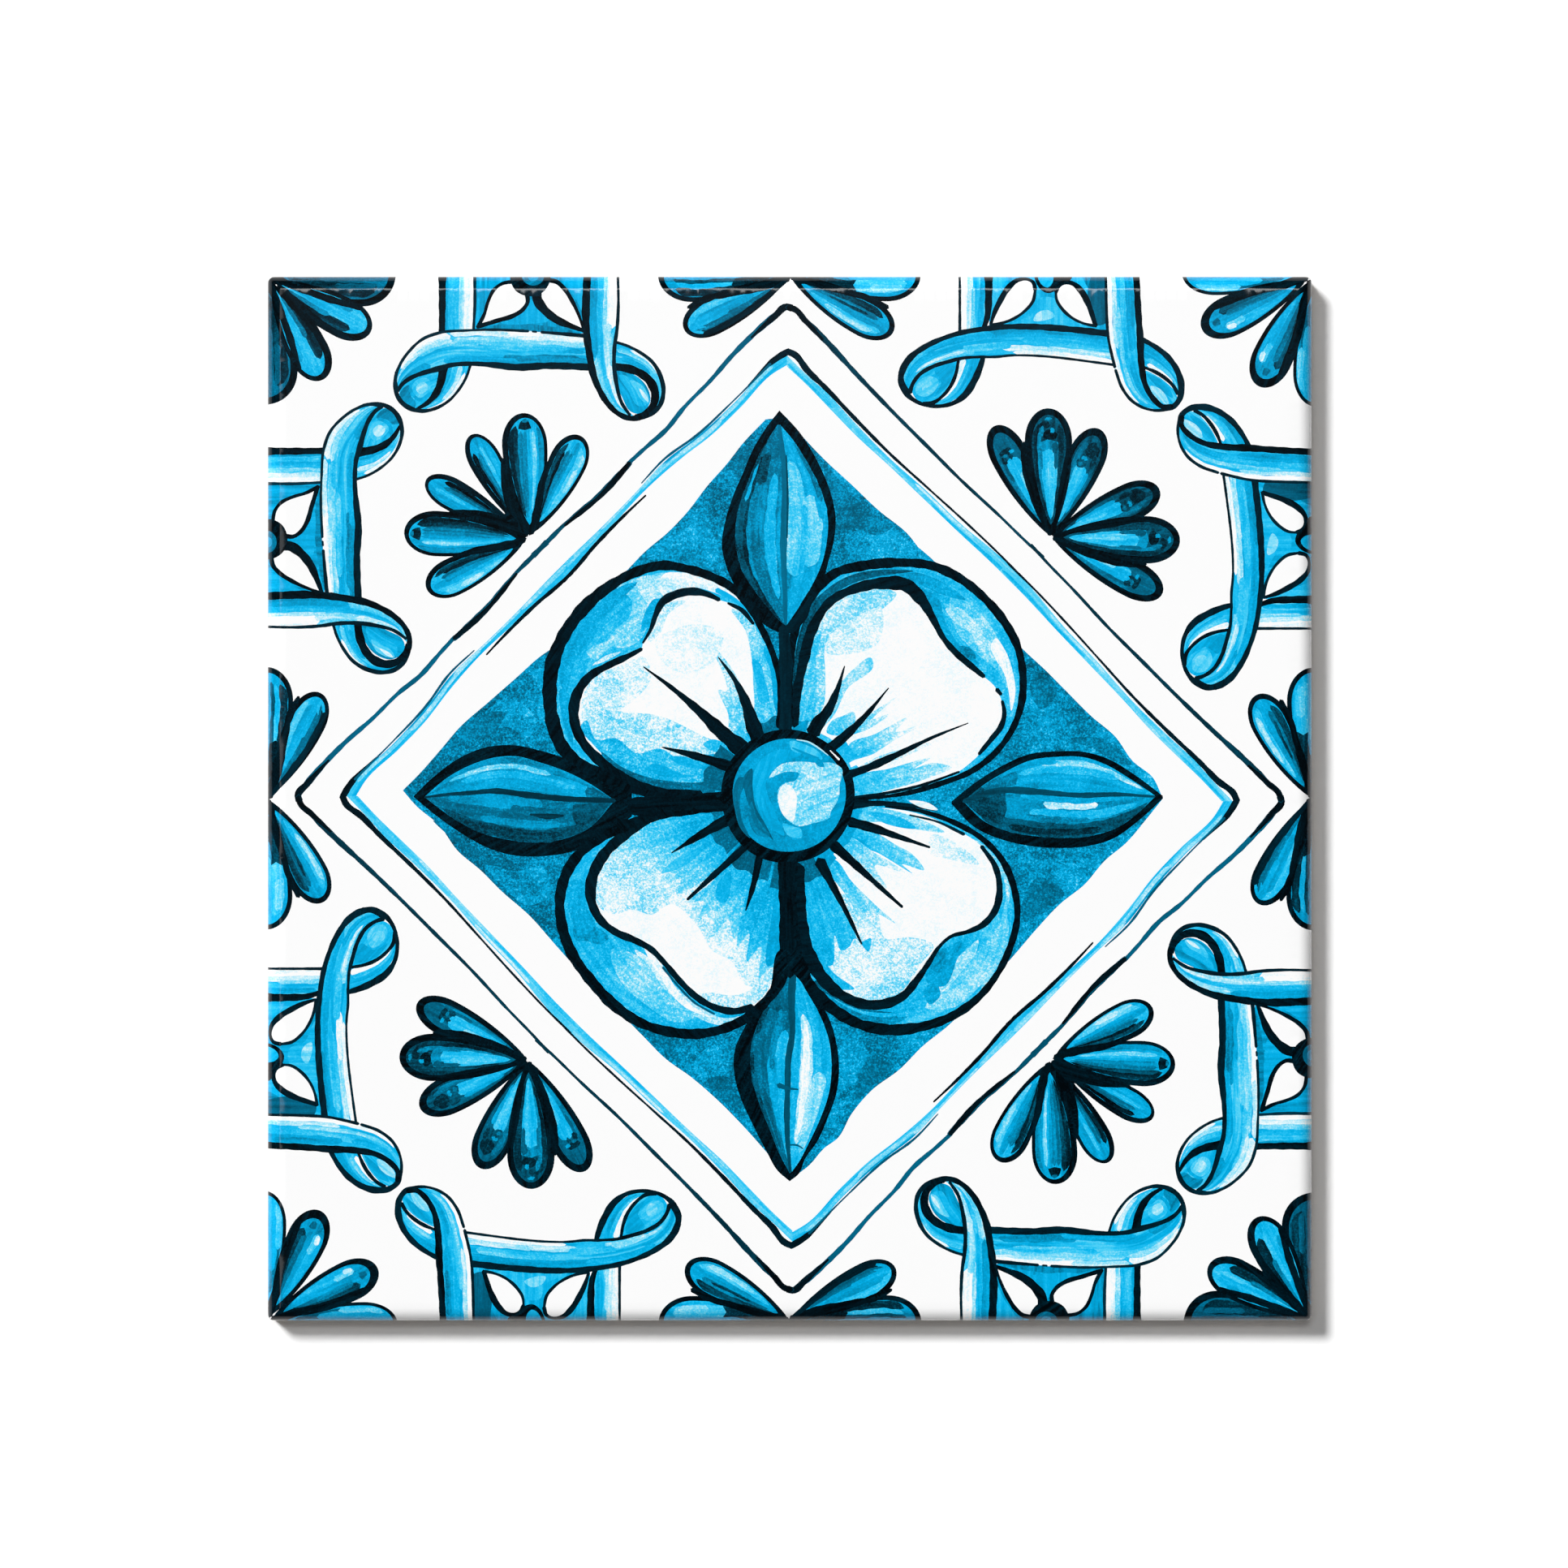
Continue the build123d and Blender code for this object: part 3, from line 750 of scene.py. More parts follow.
outer_side = smooth([(-0.4, 64.9), (-3, 63), (-8.2, 57.6), (-13.4, 52.9), (-18.2, 49.2), (-22.3, 44.8),
                     (-27.4, 39.6), (-32.6, 34.6), (-34.4, 32.8)])
inner_side = smooth([(-0.4, 63.2), (-2.4, 62), (-7.2, 57), (-11.4, 53), (-15.8, 49.6), (-20.6, 45.4),
                     (-26, 39.6), (-31.4, 33.4), (-33, 31.8)])
band = ribbon(outer_side, inner_side, 90)
paint_strip(light_line, band, 0.32, 0.08,
            [(-0.8, 0.1, 0.05, 0.34, 0.20), (-0.5, 0.5, 0.28, 0.46, 0.16), (-0.3, 0.3, 0.42, 0.62, 0.18),
             (-0.9, -0.3, 0.50, 0.8, 0.16), (-0.9, -0.5, 0.28, 0.52, 0.50), (-0.9, -0.1, 0.8, 1, 0.20)],
            streak=0.05)
light_line.ink([(-0.2, 65.2), (-1.6, 64.4), (-3.2, 63.2), (-6, 60.2)], (0.9, 0.7, 0.3, 0.25), 0.95)
light_line.ink([(-2.8, 63.4), (-8.4, 57.8), (-13.4, 53.1), (-18.4, 49.4), (-21.6, 46)],
               (0.3, 0.2, 0.3, 0.35, 0.15), 0.72)
light_line.ink([(-21, 44.2), (-24.2, 41.2), (-26.8, 38.6), (-28.4, 36.9), (-31.2, 33.6), (-33, 31.7)],
               (0.2, 0.35, 0.5, 0.45, 0.5, 0.5))

dark_line = Painting(weight=1.08)
dark_line.ink([(-0.4, 71.6), (0.4, 71.5), (2.4, 69.6), (5.4, 66.6), (10, 61.6), (15, 56.4), (20, 51.4),
               (25, 46.4), (30.4, 41.4), (35.4, 36.6), (37, 35.2)],
              (0.7, 0.8, 0.8, 0.6, 0.55, 0.5, 0.5, 0.45, 0.42, 0.38, 0.4), 0.84)
dark_line.ink([(-0.2, 71.6), (0.6, 71.4), (2.4, 69.5), (4.8, 66.9)], (0.8, 0.8, 0.7, 0.3))
outer_side = smooth([(-0.4, 64.6), (2.5, 61.8), (5.4, 59.2), (9.4, 54.9), (14.6, 49.6), (19.8, 45),
                     (24.8, 40.2), (31, 35), (34.2, 31.8)])
inner_side = smooth([(-0.4, 63), (2.6, 60.2), (5.8, 56.9), (10, 52.6), (14.4, 48.6), (19, 44.2),
                     (24, 39.4), (30.2, 33.6), (33.2, 30.6)])
band = ribbon(outer_side, inner_side, 90)
paint_strip(dark_line, band, 0.24, 0.06,
            [(0.1, 0.8, 0, 0.2, 0.32), (0.2, 0.9, 0.28, 0.6, 0.20), (-0.7, -0.1, 0.55, 0.8, 0.12),
             (0.2, 0.9, 0.62, 1, 0.34), (-0.9, -0.3, 0.1, 0.4, 0.26)], streak=0.05)
dark_line.ink([(-0.4, 65.2), (0.6, 64.8), (2.6, 62.4), (5.2, 59.9), (9.6, 55.3), (14.8, 50.1), (20, 45.4),
               (25.2, 40.7), (31, 35.2), (34.2, 31.9)], (0.9, 0.8, 0.55, 0.5, 0.35, 0.3, 0.3, 0.3, 0.28),
              0.95)

# %% The wash inside the lozenge
whole = Painting(weight=1.1)


def paint_lozenge(art):
    """The granular wash, with its uneven edge."""
    upper_left = [(-3.5, 55.3), (-7, 51.6), (-9, 49), (-12, 45.6), (-15, 41.7), (-18, 38.6), (-21, 36.1),
                  (-23.6, 33.4), (-29, 27.6), (-34.5, 22), (-36, 21), (-40, 17.5), (-44, 14), (-48, 10.5),
                  (-51, 7), (-54, 3.6), (-56.4, 1.2)]
    lower_left = [(-56.4, 1.2), (-54.5, -1), (-51, -4), (-48.5, -7.5), (-45, -10.5), (-42, -13.5),
                  (-38, -17), (-34, -21.5), (-29, -27), (-24, -32), (-21.5, -34.5), (-18, -38),
                  (-14.5, -40.5), (-11, -43.5), (-7, -47.5), (-3, -52), (0, -55.6)]
    lower_right = [(0, -55.6), (3, -53.3), (5, -51), (7, -49.5), (9, -46), (12, -42.5), (16, -39.5),
                   (19.5, -36), (23, -33.2), (28, -28), (33, -22.5), (36, -19), (39.5, -15.3),
                   (43, -12.5), (46, -9), (49, -6.5), (52, -3), (54.4, 0)]
    upper_right = [(54.4, 0), (53, 3), (50, 5.5), (47.5, 9), (44, 12), (40, 16), (37, 19), (34.5, 21.3),
                   (28, 28), (22, 34), (20, 35.3), (17, 38.8), (13, 42), (9, 45.8), (5, 49.5), (1, 53.8),
                   (-0.5, 55.6)]
    sides = [smooth(side) for side in (upper_left, lower_left, lower_right, upper_right)]
    art.fill(np.vstack(sides), 0.61, -0.11, Straight((-60, 0), (60, 0)), 0.03, 0.21)
    paint_pools(art)


def paint_pools(art):
    """Where the wash pooled darker or was wiped lighter."""
    level = Straight((-60, 0), (60, 0))
    lighter = [
        [(-18, 38), (-12, 39.5), (-10.5, 35), (-12, 33.4), (-17, 34.6), (-21, 35.6)],
        [(9, 38.6), (12, 39.2), (15, 39), (18, 37.2), (21.6, 33.8), (17, 35), (11, 34.4), (8, 36)],
        [(-37.6, 18.6), (-36.4, 16), (-36.8, 12.4), (-35.6, 10.6), (-34.8, 14), (-35.6, 19)],
        [(-46, 9.4), (-41, 10.4), (-38, 9), (-37, 11), (-41, 14.6), (-44, 13)],
        [(-45, -9), (-40, -10.6), (-36, -10), (-35, -14), (-38, -15.6), (-42, -12.6)],
        [(36, -9), (42, -9.4), (46, -8.2), (42, -12), (38, -15), (35, -14)],
        [(36.6, 10), (41, 10.2), (44, 9.6), (41, 13), (37.6, 16)],
        [(6.6, -37), (8.6, -34), (11, -36), (10, -41), (7.4, -43), (6.6, -48), (5.4, -48)],
        [(-14, -38.6), (-11, -36), (-9, -38.6), (-9.4, -42), (-11, -42)],
        [(24, -31), (28, -27.4), (31, -23), (29.6, -24.6), (26, -28.6)],
    ]
    darker = [[(-7.6, 50.4), (-8.6, 48.4), (-7.6, 46.8), (-6, 49.4), (-4.6, 52.4)],
              [(5, 48.6), (8.4, 45), (12, 41.6), (15, 39.6), (12.8, 38.4), (9.6, 39.4), (7, 38.6),
               (6.8, 42), (5.2, 46)],
              [(-50.6, 6.6), (-47, 8.6), (-43.6, 9.2), (-41.6, 12.6), (-44.6, 12.4), (-48.6, 9)],
              [(-52, -3.2), (-48.6, -6.4), (-45, -9.4), (-40, -9.8), (-44, -8.4), (-48, -5.6)],
              [(36.8, -16.8), (40, -13.8), (36, -11.6), (34.4, -13.6), (34.2, -17.6)],
              [(49.6, 4.8), (46, 8.6), (40.6, 8.6), (44, 7.4), (48, 5.2)],
              [(-12, -41), (-9.8, -44), (-6.6, -46.6), (-7.6, -43), (-9, -40.6)],
              [(9.6, -44), (12.4, -41.6), (15, -39), (11.6, -38), (10, -40.4)],
              [(36.6, 18.6), (39, 15.6), (36.8, 13), (35, 16.6)],
              [(-24, -30.6), (-20, -35), (-16, -38.2), (-17, -35.6), (-21, -32)]]
    for edge in lighter:
        art.dab(edge, 0.49, flow=level, streak=0.03, grain=0.20)
    for edge in darker:
        art.dab(edge, 0.61, flow=level, streak=0.03, grain=0.14)


paint_lozenge(whole)

# %% [markdown]
# ## The four leaves
# Each leaf fills one point of the lozenge. Its sides are drawn twice, an outer and an inner line
# with solid ink between them, and a midrib parts a dark half from a light one.

# %% Leaves


def leaf(art, outer, inner, halves, ribs):
    """A leaf: ink between the outer and inner sides, a wash in each half, lanes and a midrib."""
    art.fill(np.vstack([smooth(side) for side in outer]), INK, streak=0.05)
    left, right = (smooth(side) for side in inner)
    rib = smooth(ribs[0][0])
    for side, half in zip((ribbon(left, rib, 64), ribbon(rib, right, 64)), halves):
        art.fill(side.outline(), half[0], flow=side.flow, streak=0.06, grain=0.10)
        shade(art, side, half[1], streak=0.05, grain=0.10)
    for knots, widths, tone in ribs:
        art.ink(knots, widths, tone)


def paint_top_leaf(art):
    """The upper leaf, darker on the left."""
    outer_left = [(-1.5, 56.6), (-3.5, 54), (-5.3, 51), (-6.8, 47.5), (-8.3, 44), (-9.5, 40), (-9.9, 37),
                  (-9.3, 34), (-8, 31), (-6, 28), (-3.5, 25.2), (-0.6, 23.8)]
    outer_right = [(0.2, 25.2), (2.6, 28), (4.8, 31.4), (5.6, 34.4), (6.4, 37.4), (6.7, 41), (6, 44.5),
                   (4.9, 47.4), (3.4, 50.4), (1.6, 53.2), (-1.5, 56.6)]
    inner_left = [(-0.7, 25.2), (-2.8, 27.4), (-5, 30.2), (-6.8, 33), (-7.7, 36), (-7.9, 39), (-7.2, 43),
                  (-5.8, 47), (-4, 51), (-1.7, 54.6)]
    inner_right = [(-0.5, 25.2), (1.4, 28), (3.2, 31), (4.6, 34), (5.4, 37.4), (5.6, 40.4), (5, 43.6),
                   (3.8, 46.6), (2.2, 49.6), (0.4, 52.4), (-1.4, 54.5)]
    rib = [(-0.6, 25.2), (-0.7, 30), (-0.9, 36), (-0.8, 42), (-0.8, 48), (-1.5, 54.3)]
    leaf(art, (outer_left, outer_right), (inner_left, inner_right),
         ((0.58,
           [(-1, -0.55, 0, 0.96, 0.84), (-1, -0.70, 0.2, 0.86, 0.76), (-0.9, 0.9, 0.82, 1, 0.64),
            (-0.62, 0, 0.70, 0.86, 0.76), (-0.4, 0, 0.1, 0.66, 0.60), (0.20, 0.66, 0.14, 0.76, 0.36),
            (0.72, 1, 0.05, 0.7, 0.50), (-0.86, -0.70, 0.62, 0.80, 0.40)]),
          (0.42,
           [(-1, -0.5, 0, 0.3, 0.52), (-0.9, 0.1, 0.25, 0.82, 0.27), (-0.1, 0.75, 0.30, 0.64, 0.22),
            (0.55, 1, 0.52, 0.94, 0.44), (-0.7, 0.2, 0.02, 0.2, 0.46), (-0.2, 0.1, 0.25, 0.6, 0.34),
            (0.7, 1, 0.6, 0.9, 0.60)])),
         [(rib, (0.4, 0.7, 0.9, 0.8, 0.7, 0.5), 0.66),
          ([(-0.4, 38), (-0.3, 44), (-0.5, 50)], (0.2, 0.3, 0.2), 0.80)])


def paint_bottom_leaf(art):
    """The lower leaf, with a white stripe on its right half."""
    outer_left = [(0.4, -24.4), (-2.3, -27.4), (-4.6, -30), (-6.6, -33.4), (-8, -36.6), (-8.1, -40),
                  (-7.2, -43.5), (-5.4, -47.5), (-3.4, -51.4), (-1.8, -54.2), (0, -55.8)]
    outer_right = [(0, -55.8), (1.4, -54.6), (2.2, -52.6), (4, -50), (5.6, -46.4), (6.8, -43), (7.2, -39),
                   (6.8, -35.6), (5.8, -32.2), (4, -29), (1.8, -26), (0.4, -24.4)]
    inner_left = [(0.2, -24.8), (-2, -28.2), (-4.3, -32), (-5.6, -36), (-5.6, -40), (-4.6, -44),
                  (-3, -48), (-1.2, -52.4), (0, -54.6)]
    inner_right = [(0.9, -25.2), (2.4, -28), (4.4, -31.6), (5.8, -35.6), (6.1, -39), (5.7, -43),
                   (4.4, -46.8), (2.8, -50.2), (1.2, -53.2), (0.3, -54.4)]
    rib = [(0.6, -25), (0.3, -28), (0.3, -31), (0.4, -34), (-0.2, -38), (-0.3, -42), (-0.4, -46),
           (-0.3, -50), (0.1, -54.4)]
    leaf(art, (outer_left, outer_right), (inner_left, inner_right),
         ((0.62,
           [(-1, -0.7, 0.1, 0.9, 0.76), (-0.95, -0.3, 0.32, 0.62, 0.66), (0.3, 0.9, 0.3, 0.95, 0.36),
            (-0.1, 0.4, 0.42, 0.8, 0.44), (-0.6, -0.2, 0.6, 0.88, 0.72), (-0.9, 0.8, 0, 0.22, 0.70),
            (0, 0.3, 0.2, 0.5, 0.54), (-1, -0.78, 0.42, 0.52, 0.84)]),
          (0.34,
           [(-0.45, 0.12, 0.22, 0.86, 0.12), (-0.35, -0.02, 0.26, 0.82, 0.02),
            (0.1, 0.75, 0.5, 0.9, 0.18), (-0.9, -0.5, 0.1, 0.9, 0.40), (0.55, 1, 0.1, 0.5, 0.40)])),
         [(rib, (0.8, 1, 0.8, 0.8, 0.8, 0.8, 0.6, 0.4), 0.78),
          ([(-1.6, -41.8), (-0.4, -42.2), (1.2, -42.4)], (0.7, 0.4, 0.2), 0.74),
          ([(0.1, -50.5), (1, -50.5), (1.9, -51)], (0.2, 0.25, 0.2), 0.72)])


def paint_left_leaf(art):
    """The left leaf, light above its midrib."""
    outer_up = [(-54.8, 0.4), (-52, 3.1), (-48.5, 5.7), (-45, 7.3), (-40.5, 7.8), (-36, 6.9), (-32, 5.6),
                (-28, 3.6), (-23, 1.4)]
    outer_down = [(-23, -2.6), (-28, -6.2), (-32, -7.8), (-36, -8.4), (-40, -8.3), (-43.5, -7.4),
                  (-47, -5.6), (-51, -2.9), (-54.8, 0.2)]
    inner_up = [(-53.2, 0.3), (-50, 3), (-46.5, 4.9), (-43, 6), (-40, 6.2), (-36.5, 5.3), (-32.5, 3.9),
                (-29, 2.1), (-25.6, -0.2)]
    inner_down = [(-53.2, 0.2), (-51.8, -0.9), (-49, -2.9), (-45, -5), (-41, -6), (-37, -6.4),
                  (-33, -5.9), (-29.4, -4.4), (-25.6, -0.4)]
    rib = [(-53.2, 0.2), (-50, 0.6), (-47, 0.8), (-43, 1.1), (-38, 0.5), (-33, 0), (-25.6, -0.3)]
    leaf(art, (outer_up, outer_down), (inner_up, inner_down),
         ((0.47,
           [(-0.6, -0.3, 0.14, 0.66, 0.20), (-0.95, -0.6, 0.2, 0.75, 0.54), (-0.2, 0.2, 0.2, 0.8, 0.36),
            (0.3, 0.7, 0.3, 0.9, 0.44), (-0.8, 0.9, 0.84, 1, 0.66), (-0.5, 0.1, 0, 0.16, 0.56),
            (-0.8, -0.5, 0.66, 0.88, 0.58)]),
          (0.63,
           [(-0.95, -0.3, 0.12, 0.62, 0.50), (0.45, 1, 0.1, 0.94, 0.78), (0.1, 0.4, 0.3, 0.7, 0.52),
            (-0.5, -0.1, 0.45, 0.75, 0.66), (-0.7, 0.7, 0.76, 1, 0.76), (0.6, 0.9, 0.3, 0.7, 0.84)])),
         [(rib, (0.3, 0.5, 0.8, 0.8, 0.8, 0.6), 0.84),
          ([(-37.8, -2.3), (-35.4, -2.6), (-33, -2.5)], (0.3, 0.8, 0.3), 0.84)])


def paint_right_leaf(art):
    """The right leaf, whose upper side is a thin line."""
    outer_up = [(23.6, -0.4), (27, 2.3), (31, 4.8), (35, 6.5), (39, 6.9), (43, 6.8), (46.4, 5.8),
                (50.4, 3.4), (54.4, 0.4)]
    outer_down = [(54.4, 0), (51, -3.1), (47, -5.9), (43, -7), (39, -7.2), (35, -6.9), (31, -6), (27, -4.2),
                  (23.6, -0.8)]
    inner_up = [(25.4, -0.3), (28, 1.8), (31.6, 4), (35.2, 5.6), (39, 6.1), (43, 6), (46, 5), (49.6, 2.9),
                (53.2, 0.5)]
    inner_down = [(25.4, -0.5), (28.5, -3.4), (32, -4.8), (36, -5.5), (40, -5.7), (44, -5.4), (48, -4.1),
                  (51, -1.9), (53.2, 0.2)]
    rib = [(25.4, -0.4), (28, 0.6), (31, 1.2), (36, 1), (42, 0.5), (48, 0.6), (53.2, 0.3)]
    leaf(art, (outer_up, outer_down), (inner_up, inner_down),
         ((0.46,
           [(-0.8, -0.35, 0.42, 0.94, 0.20), (-0.5, -0.1, 0.3, 0.8, 0.34), (0, 0.4, 0.3, 0.9, 0.44),
            (-0.9, 0.6, 0.06, 0.3, 0.60), (-1, 0.9, 0, 0.12, 0.78), (-0.9, -0.6, 0.2, 0.5, 0.46)]),
          (0.55,
           [(-0.7, -0.3, 0.42, 0.7, 0.10), (-0.95, -0.6, 0.3, 0.9, 0.46), (-0.25, 0.2, 0.35, 0.9, 0.36),
            (0.35, 1, 0.1, 0.96, 0.74), (0.6, 0.9, 0.25, 0.7, 0.84), (-0.9, 0.8, 0, 0.24, 0.80),
            (0.05, 0.3, 0.3, 0.65, 0.56)])),
         [(rib, (0.5, 0.9, 0.9, 0.7, 0.7, 0.5, 0.3), 0.80)])


paint_top_leaf(whole)
paint_bottom_leaf(whole)
paint_left_leaf(whole)
paint_right_leaf(whole)

# %% [markdown]
# ## The blossom
# Four broad petals curl over at the rim: outside the curl line lies the blue underside, inside it
# the white face, with strokes that run out from the ring. `rays` gives those strokes: a wash that
# is strongest at the ring and fades outwards, with its brush marks going the same way.

# %% Blossom helpers
HEART = (-0.3, 0.45)


def collar(start, end, reach):
    """Outline of a wash that hugs the ring between two angles, in degrees, out to a radius."""
    angle = np.radians(np.linspace(start, end, 14))
    ray = np.stack([np.cos(angle), np.sin(angle)], axis=1)
    outer = reach + wobble(angle * 10, 0.5)
    return np.vstack([HEART + ray * 9, (HEART + ray * outer[:, None])[::-1]])


def blossom_petal(art, rim, face, washes, strokes, collars, lines, spokes):
    """One petal: the blue rim, the white face, its washes and radial strokes, then the ink lines."""
    sweep = Follow(smooth(rim)[::4])
    rays = Rays(HEART, 10, 34)
    art.fill(smooth(rim), 0.34, flow=sweep, streak=0.06, grain=0.11)
    for edge, tone in washes:
        art.dab(edge, tone, flow=sweep, streak=0.05, grain=0.12)
    art.fill(smooth(face), 0, flow=rays, streak=0, grain=0.05)
    for edge, tone, fade, streak, grain in strokes:
        art.dab(edge, tone, fade, rays, streak, grain)
    for start, end, reach, tone in collars:
        art.fill(collar(start, end, reach), tone, flow=rays, streak=0.03, grain=0.09)
    for knots, widths, tone in lines:
        art.ink(knots, widths, tone)
    for knots, widths in spokes:
        art.ink(knots, widths, 0.96)


# %% Upper left petal


def paint_upper_left(art):
    """The petal whose rim is widest at the left and top."""
    rim = [(-1.2, 8), (-1.2, 10.5), (-1.2, 14), (-1.6, 18), (-2.6, 21.5), (-4.2, 25), (-6.2, 28.3),
           (-8.5, 30.8), (-11.5, 32.4), (-15, 33.5), (-18.5, 34), (-22.5, 33), (-26.5, 30.8), (-30, 27.8),
           (-32.8, 24), (-34.5, 20), (-35, 15.5), (-34.5, 11), (-33, 7.3), (-30, 4.8), (-27.5, 3.7),
           (-24.5, 1.9), (-21, 0.8), (-16, 0.1), (-8, 0.4)]
    curl = [(-10.3, 29), (-12, 29.8), (-14, 30.2), (-16.5, 29.8), (-18.5, 28.7), (-19.6, 26.6),
            (-20.2, 24.8), (-21.4, 22.7)]
    under = [(-21.6, 21.8), (-23.5, 20.8), (-26.5, 19.4), (-29.2, 17.8), (-30.9, 15.5), (-31.5, 13),
             (-31.2, 10.5), (-30, 8), (-28, 5.8), (-25.5, 3.8), (-22.5, 2.2), (-19, 1), (-13, 0.6)]
    face = [(-8, 1), (-2, 9), (-2.2, 13), (-3, 18), (-4.4, 22.4), (-6.4, 26.2), (-8.6, 28.4)] + curl + under
    washes = [([(-25.4, 31), (-21.6, 32.2), (-17.6, 32.8), (-16, 30.9), (-18.9, 29.2), (-20.3, 26.4),
                (-21.6, 23.4), (-24, 22), (-26.6, 22.6), (-25.2, 24.8), (-23.4, 26.4), (-23, 28.8)],
               0.20),
              ([(-22.4, 31.9), (-20, 32.5), (-18.2, 31.6), (-18.6, 30), (-20.6, 28.4), (-21.6, 29.6)],
               0.12),
              ([(-18.4, 32.7), (-16, 33), (-13, 32.4), (-10, 31.1), (-7.6, 29.6), (-6.2, 28.2),
                (-8.4, 29.1), (-10.6, 29.9), (-13.8, 30.8), (-16.6, 30.4), (-18.4, 29.6), (-19.2, 31)],
               0.03),
              ([(-31.4, 24.6), (-28, 28.4), (-24, 31.2), (-22.4, 31.6), (-25.6, 28), (-28.6, 24),
                (-31.4, 19.6), (-32.8, 15), (-33.6, 18)], 0.42),
              ([(-29.6, 21.2), (-26.8, 22.9), (-24.2, 23.2), (-26.4, 21.9), (-28.4, 20.2)], 0.20),
              ([(-28.8, 19.4), (-26.6, 20.2), (-24.6, 21.4), (-26.9, 20.8)], 0.10),
              ([(-33.2, 16), (-33, 11), (-31.6, 7.6), (-31.8, 11), (-32, 15)], 0.44),
              ([(-25.6, 3.2), (-23.4, 1.7), (-21.4, 0.8), (-18.8, 0.2), (-21, 1.5), (-23.4, 2.9)], 0.04),
              ([(-20.6, 25.2), (-19.6, 27.2), (-18.2, 28.8), (-19.4, 29.2), (-21.2, 26.8), (-21.6, 24.2)],
               0.42)]
    strokes = [([(-30.2, 14.6), (-28.8, 17.4), (-24.6, 19.4), (-21.2, 20.6), (-20.2, 17.8), (-22.4, 14.6),
                 (-27, 12.2), (-30.2, 11.6)], 0.07, 0, 0, 0.17),
               ([(-30.4, 12.2), (-28.2, 7.4), (-24, 4.4), (-18, 2.6), (-9, 2.2), (-9.2, 7), (-13.6, 9.6),
                 (-19.6, 12.2), (-24, 12.6), (-28, 13.4)], 0.17, -0.08, 0.04, 0.17),
               ([(-29.8, 11.4), (-28.2, 8.6), (-25.4, 8.8), (-22.2, 6.6), (-19, 7.3), (-15.6, 5.6),
                 (-12.4, 6.4), (-9.2, 6.2), (-9.2, 2.6), (-13, 1.9), (-17, 2.2), (-21, 3), (-25, 4.8),
                 (-28.4, 7.6), (-30.4, 10.8)], 0.35, 0, 0.05, 0.15),
               ([(-27.5, 6.7), (-24.6, 4.7), (-21, 3.2), (-17, 2.5), (-13, 2.4), (-9.2, 3.4), (-9.2, 1),
                 (-14, 0.6), (-19, 1.3), (-23.4, 2.9), (-26.8, 5)], 0.66, 0, 0.05, 0.12),
               ([(-20.4, 4.9), (-18.6, 4.9), (-16.2, 3.7), (-13.6, 3.3), (-16.8, 3.1), (-19.8, 3.8)],
                0.42, 0, 0.03, 0.08),
               ([(-17.6, 6), (-15.2, 6.1), (-12.6, 4.9), (-10.2, 4.2), (-13.2, 4.3), (-16.2, 5)], 0.40, 0,
                0.03, 0.08),
               ([(-8.4, 8.4), (-6.4, 8.2), (-5.6, 10.6), (-5.9, 13.6), (-7.5, 17.4), (-9.8, 20.8),
                 (-11.2, 22.4), (-10.2, 19.2), (-10.6, 20.2), (-9.4, 15.6), (-10.2, 15.9), (-9, 12.4)],
                0.24, -0.16, 0.03, 0.15),
               ([(-19.6, 23), (-18.6, 20), (-15, 18.2), (-10.8, 20.4), (-9.8, 24), (-13, 25.4),
                 (-17, 24.6)], 0.03, 0, 0, 0.13),
               ([(-4.4, 9.6), (-1.5, 10.2), (-1.6, 15.6), (-2.6, 19.4), (-4, 23.4), (-5.2, 25.4),
                 (-7, 27.4), (-8.4, 27.7), (-6.4, 24.4), (-5.6, 20.8), (-5.2, 15)], 0.25, -0.04, 0.04,
                0.14),
               ([(-5.2, 20.4), (-4.9, 16.8), (-4.2, 14), (-3.3, 14), (-3.6, 17.2), (-4.6, 20)], 0.34, 0,
                0.04, 0.08),
               ([(-3.6, 22.4), (-2.8, 18.6), (-2.2, 13.4), (-1.5, 11), (-1.4, 14.6), (-2, 18.8),
                 (-3.2, 22.8)], 0.40, 0, 0.03, 0.08),
               ([(-12.6, 8), (-10.4, 6.6), (-8.6, 5.8), (-8, 7), (-9.6, 8.2), (-11.6, 8.6)], 0.32, 0,
                0.03, 0.12),
               ([(-20.2, 25), (-19.2, 27.4), (-17.4, 28.6), (-15.2, 28.8), (-17.6, 27), (-19, 24),
                 (-20.6, 22.8)], 0.10, 0, 0, 0.15)]
    collars = [(94, 179, 10.8, 0.40), (94, 117, 11.4, 0.62), (124, 139, 12, 0.30), (143, 176, 12.4, 0.66)]
    lines = [([(-10.6, 30.4), (-8, 29), (-5.6, 26.4)], (0.8, 0.5, 0.6), 0.36),
             (curl, (0.6, 0.9, 1.1, 1.1, 1, 0.8, 0.5, 0.3), 0.94),
             (under, (0.5, 0.9, 1.1, 1.3, 1.4, 1.3, 1.3, 1.3, 1.2, 1.1, 1.2), 0.96),
             ([(-9, 28.5), (-7, 27.5), (-5.3, 25.5)], (0.3, 0.7, 0.4), 0.95),
             (rim[1:],
              (1.4, 0.9, 0.8, 0.9, 1, 1.2, 1.2, 1.3, 1.5, 1.7, 1.8, 1.9, 1.9, 1.7, 1.3, 1, 1, 1.2, 1.4),
              0.97)]
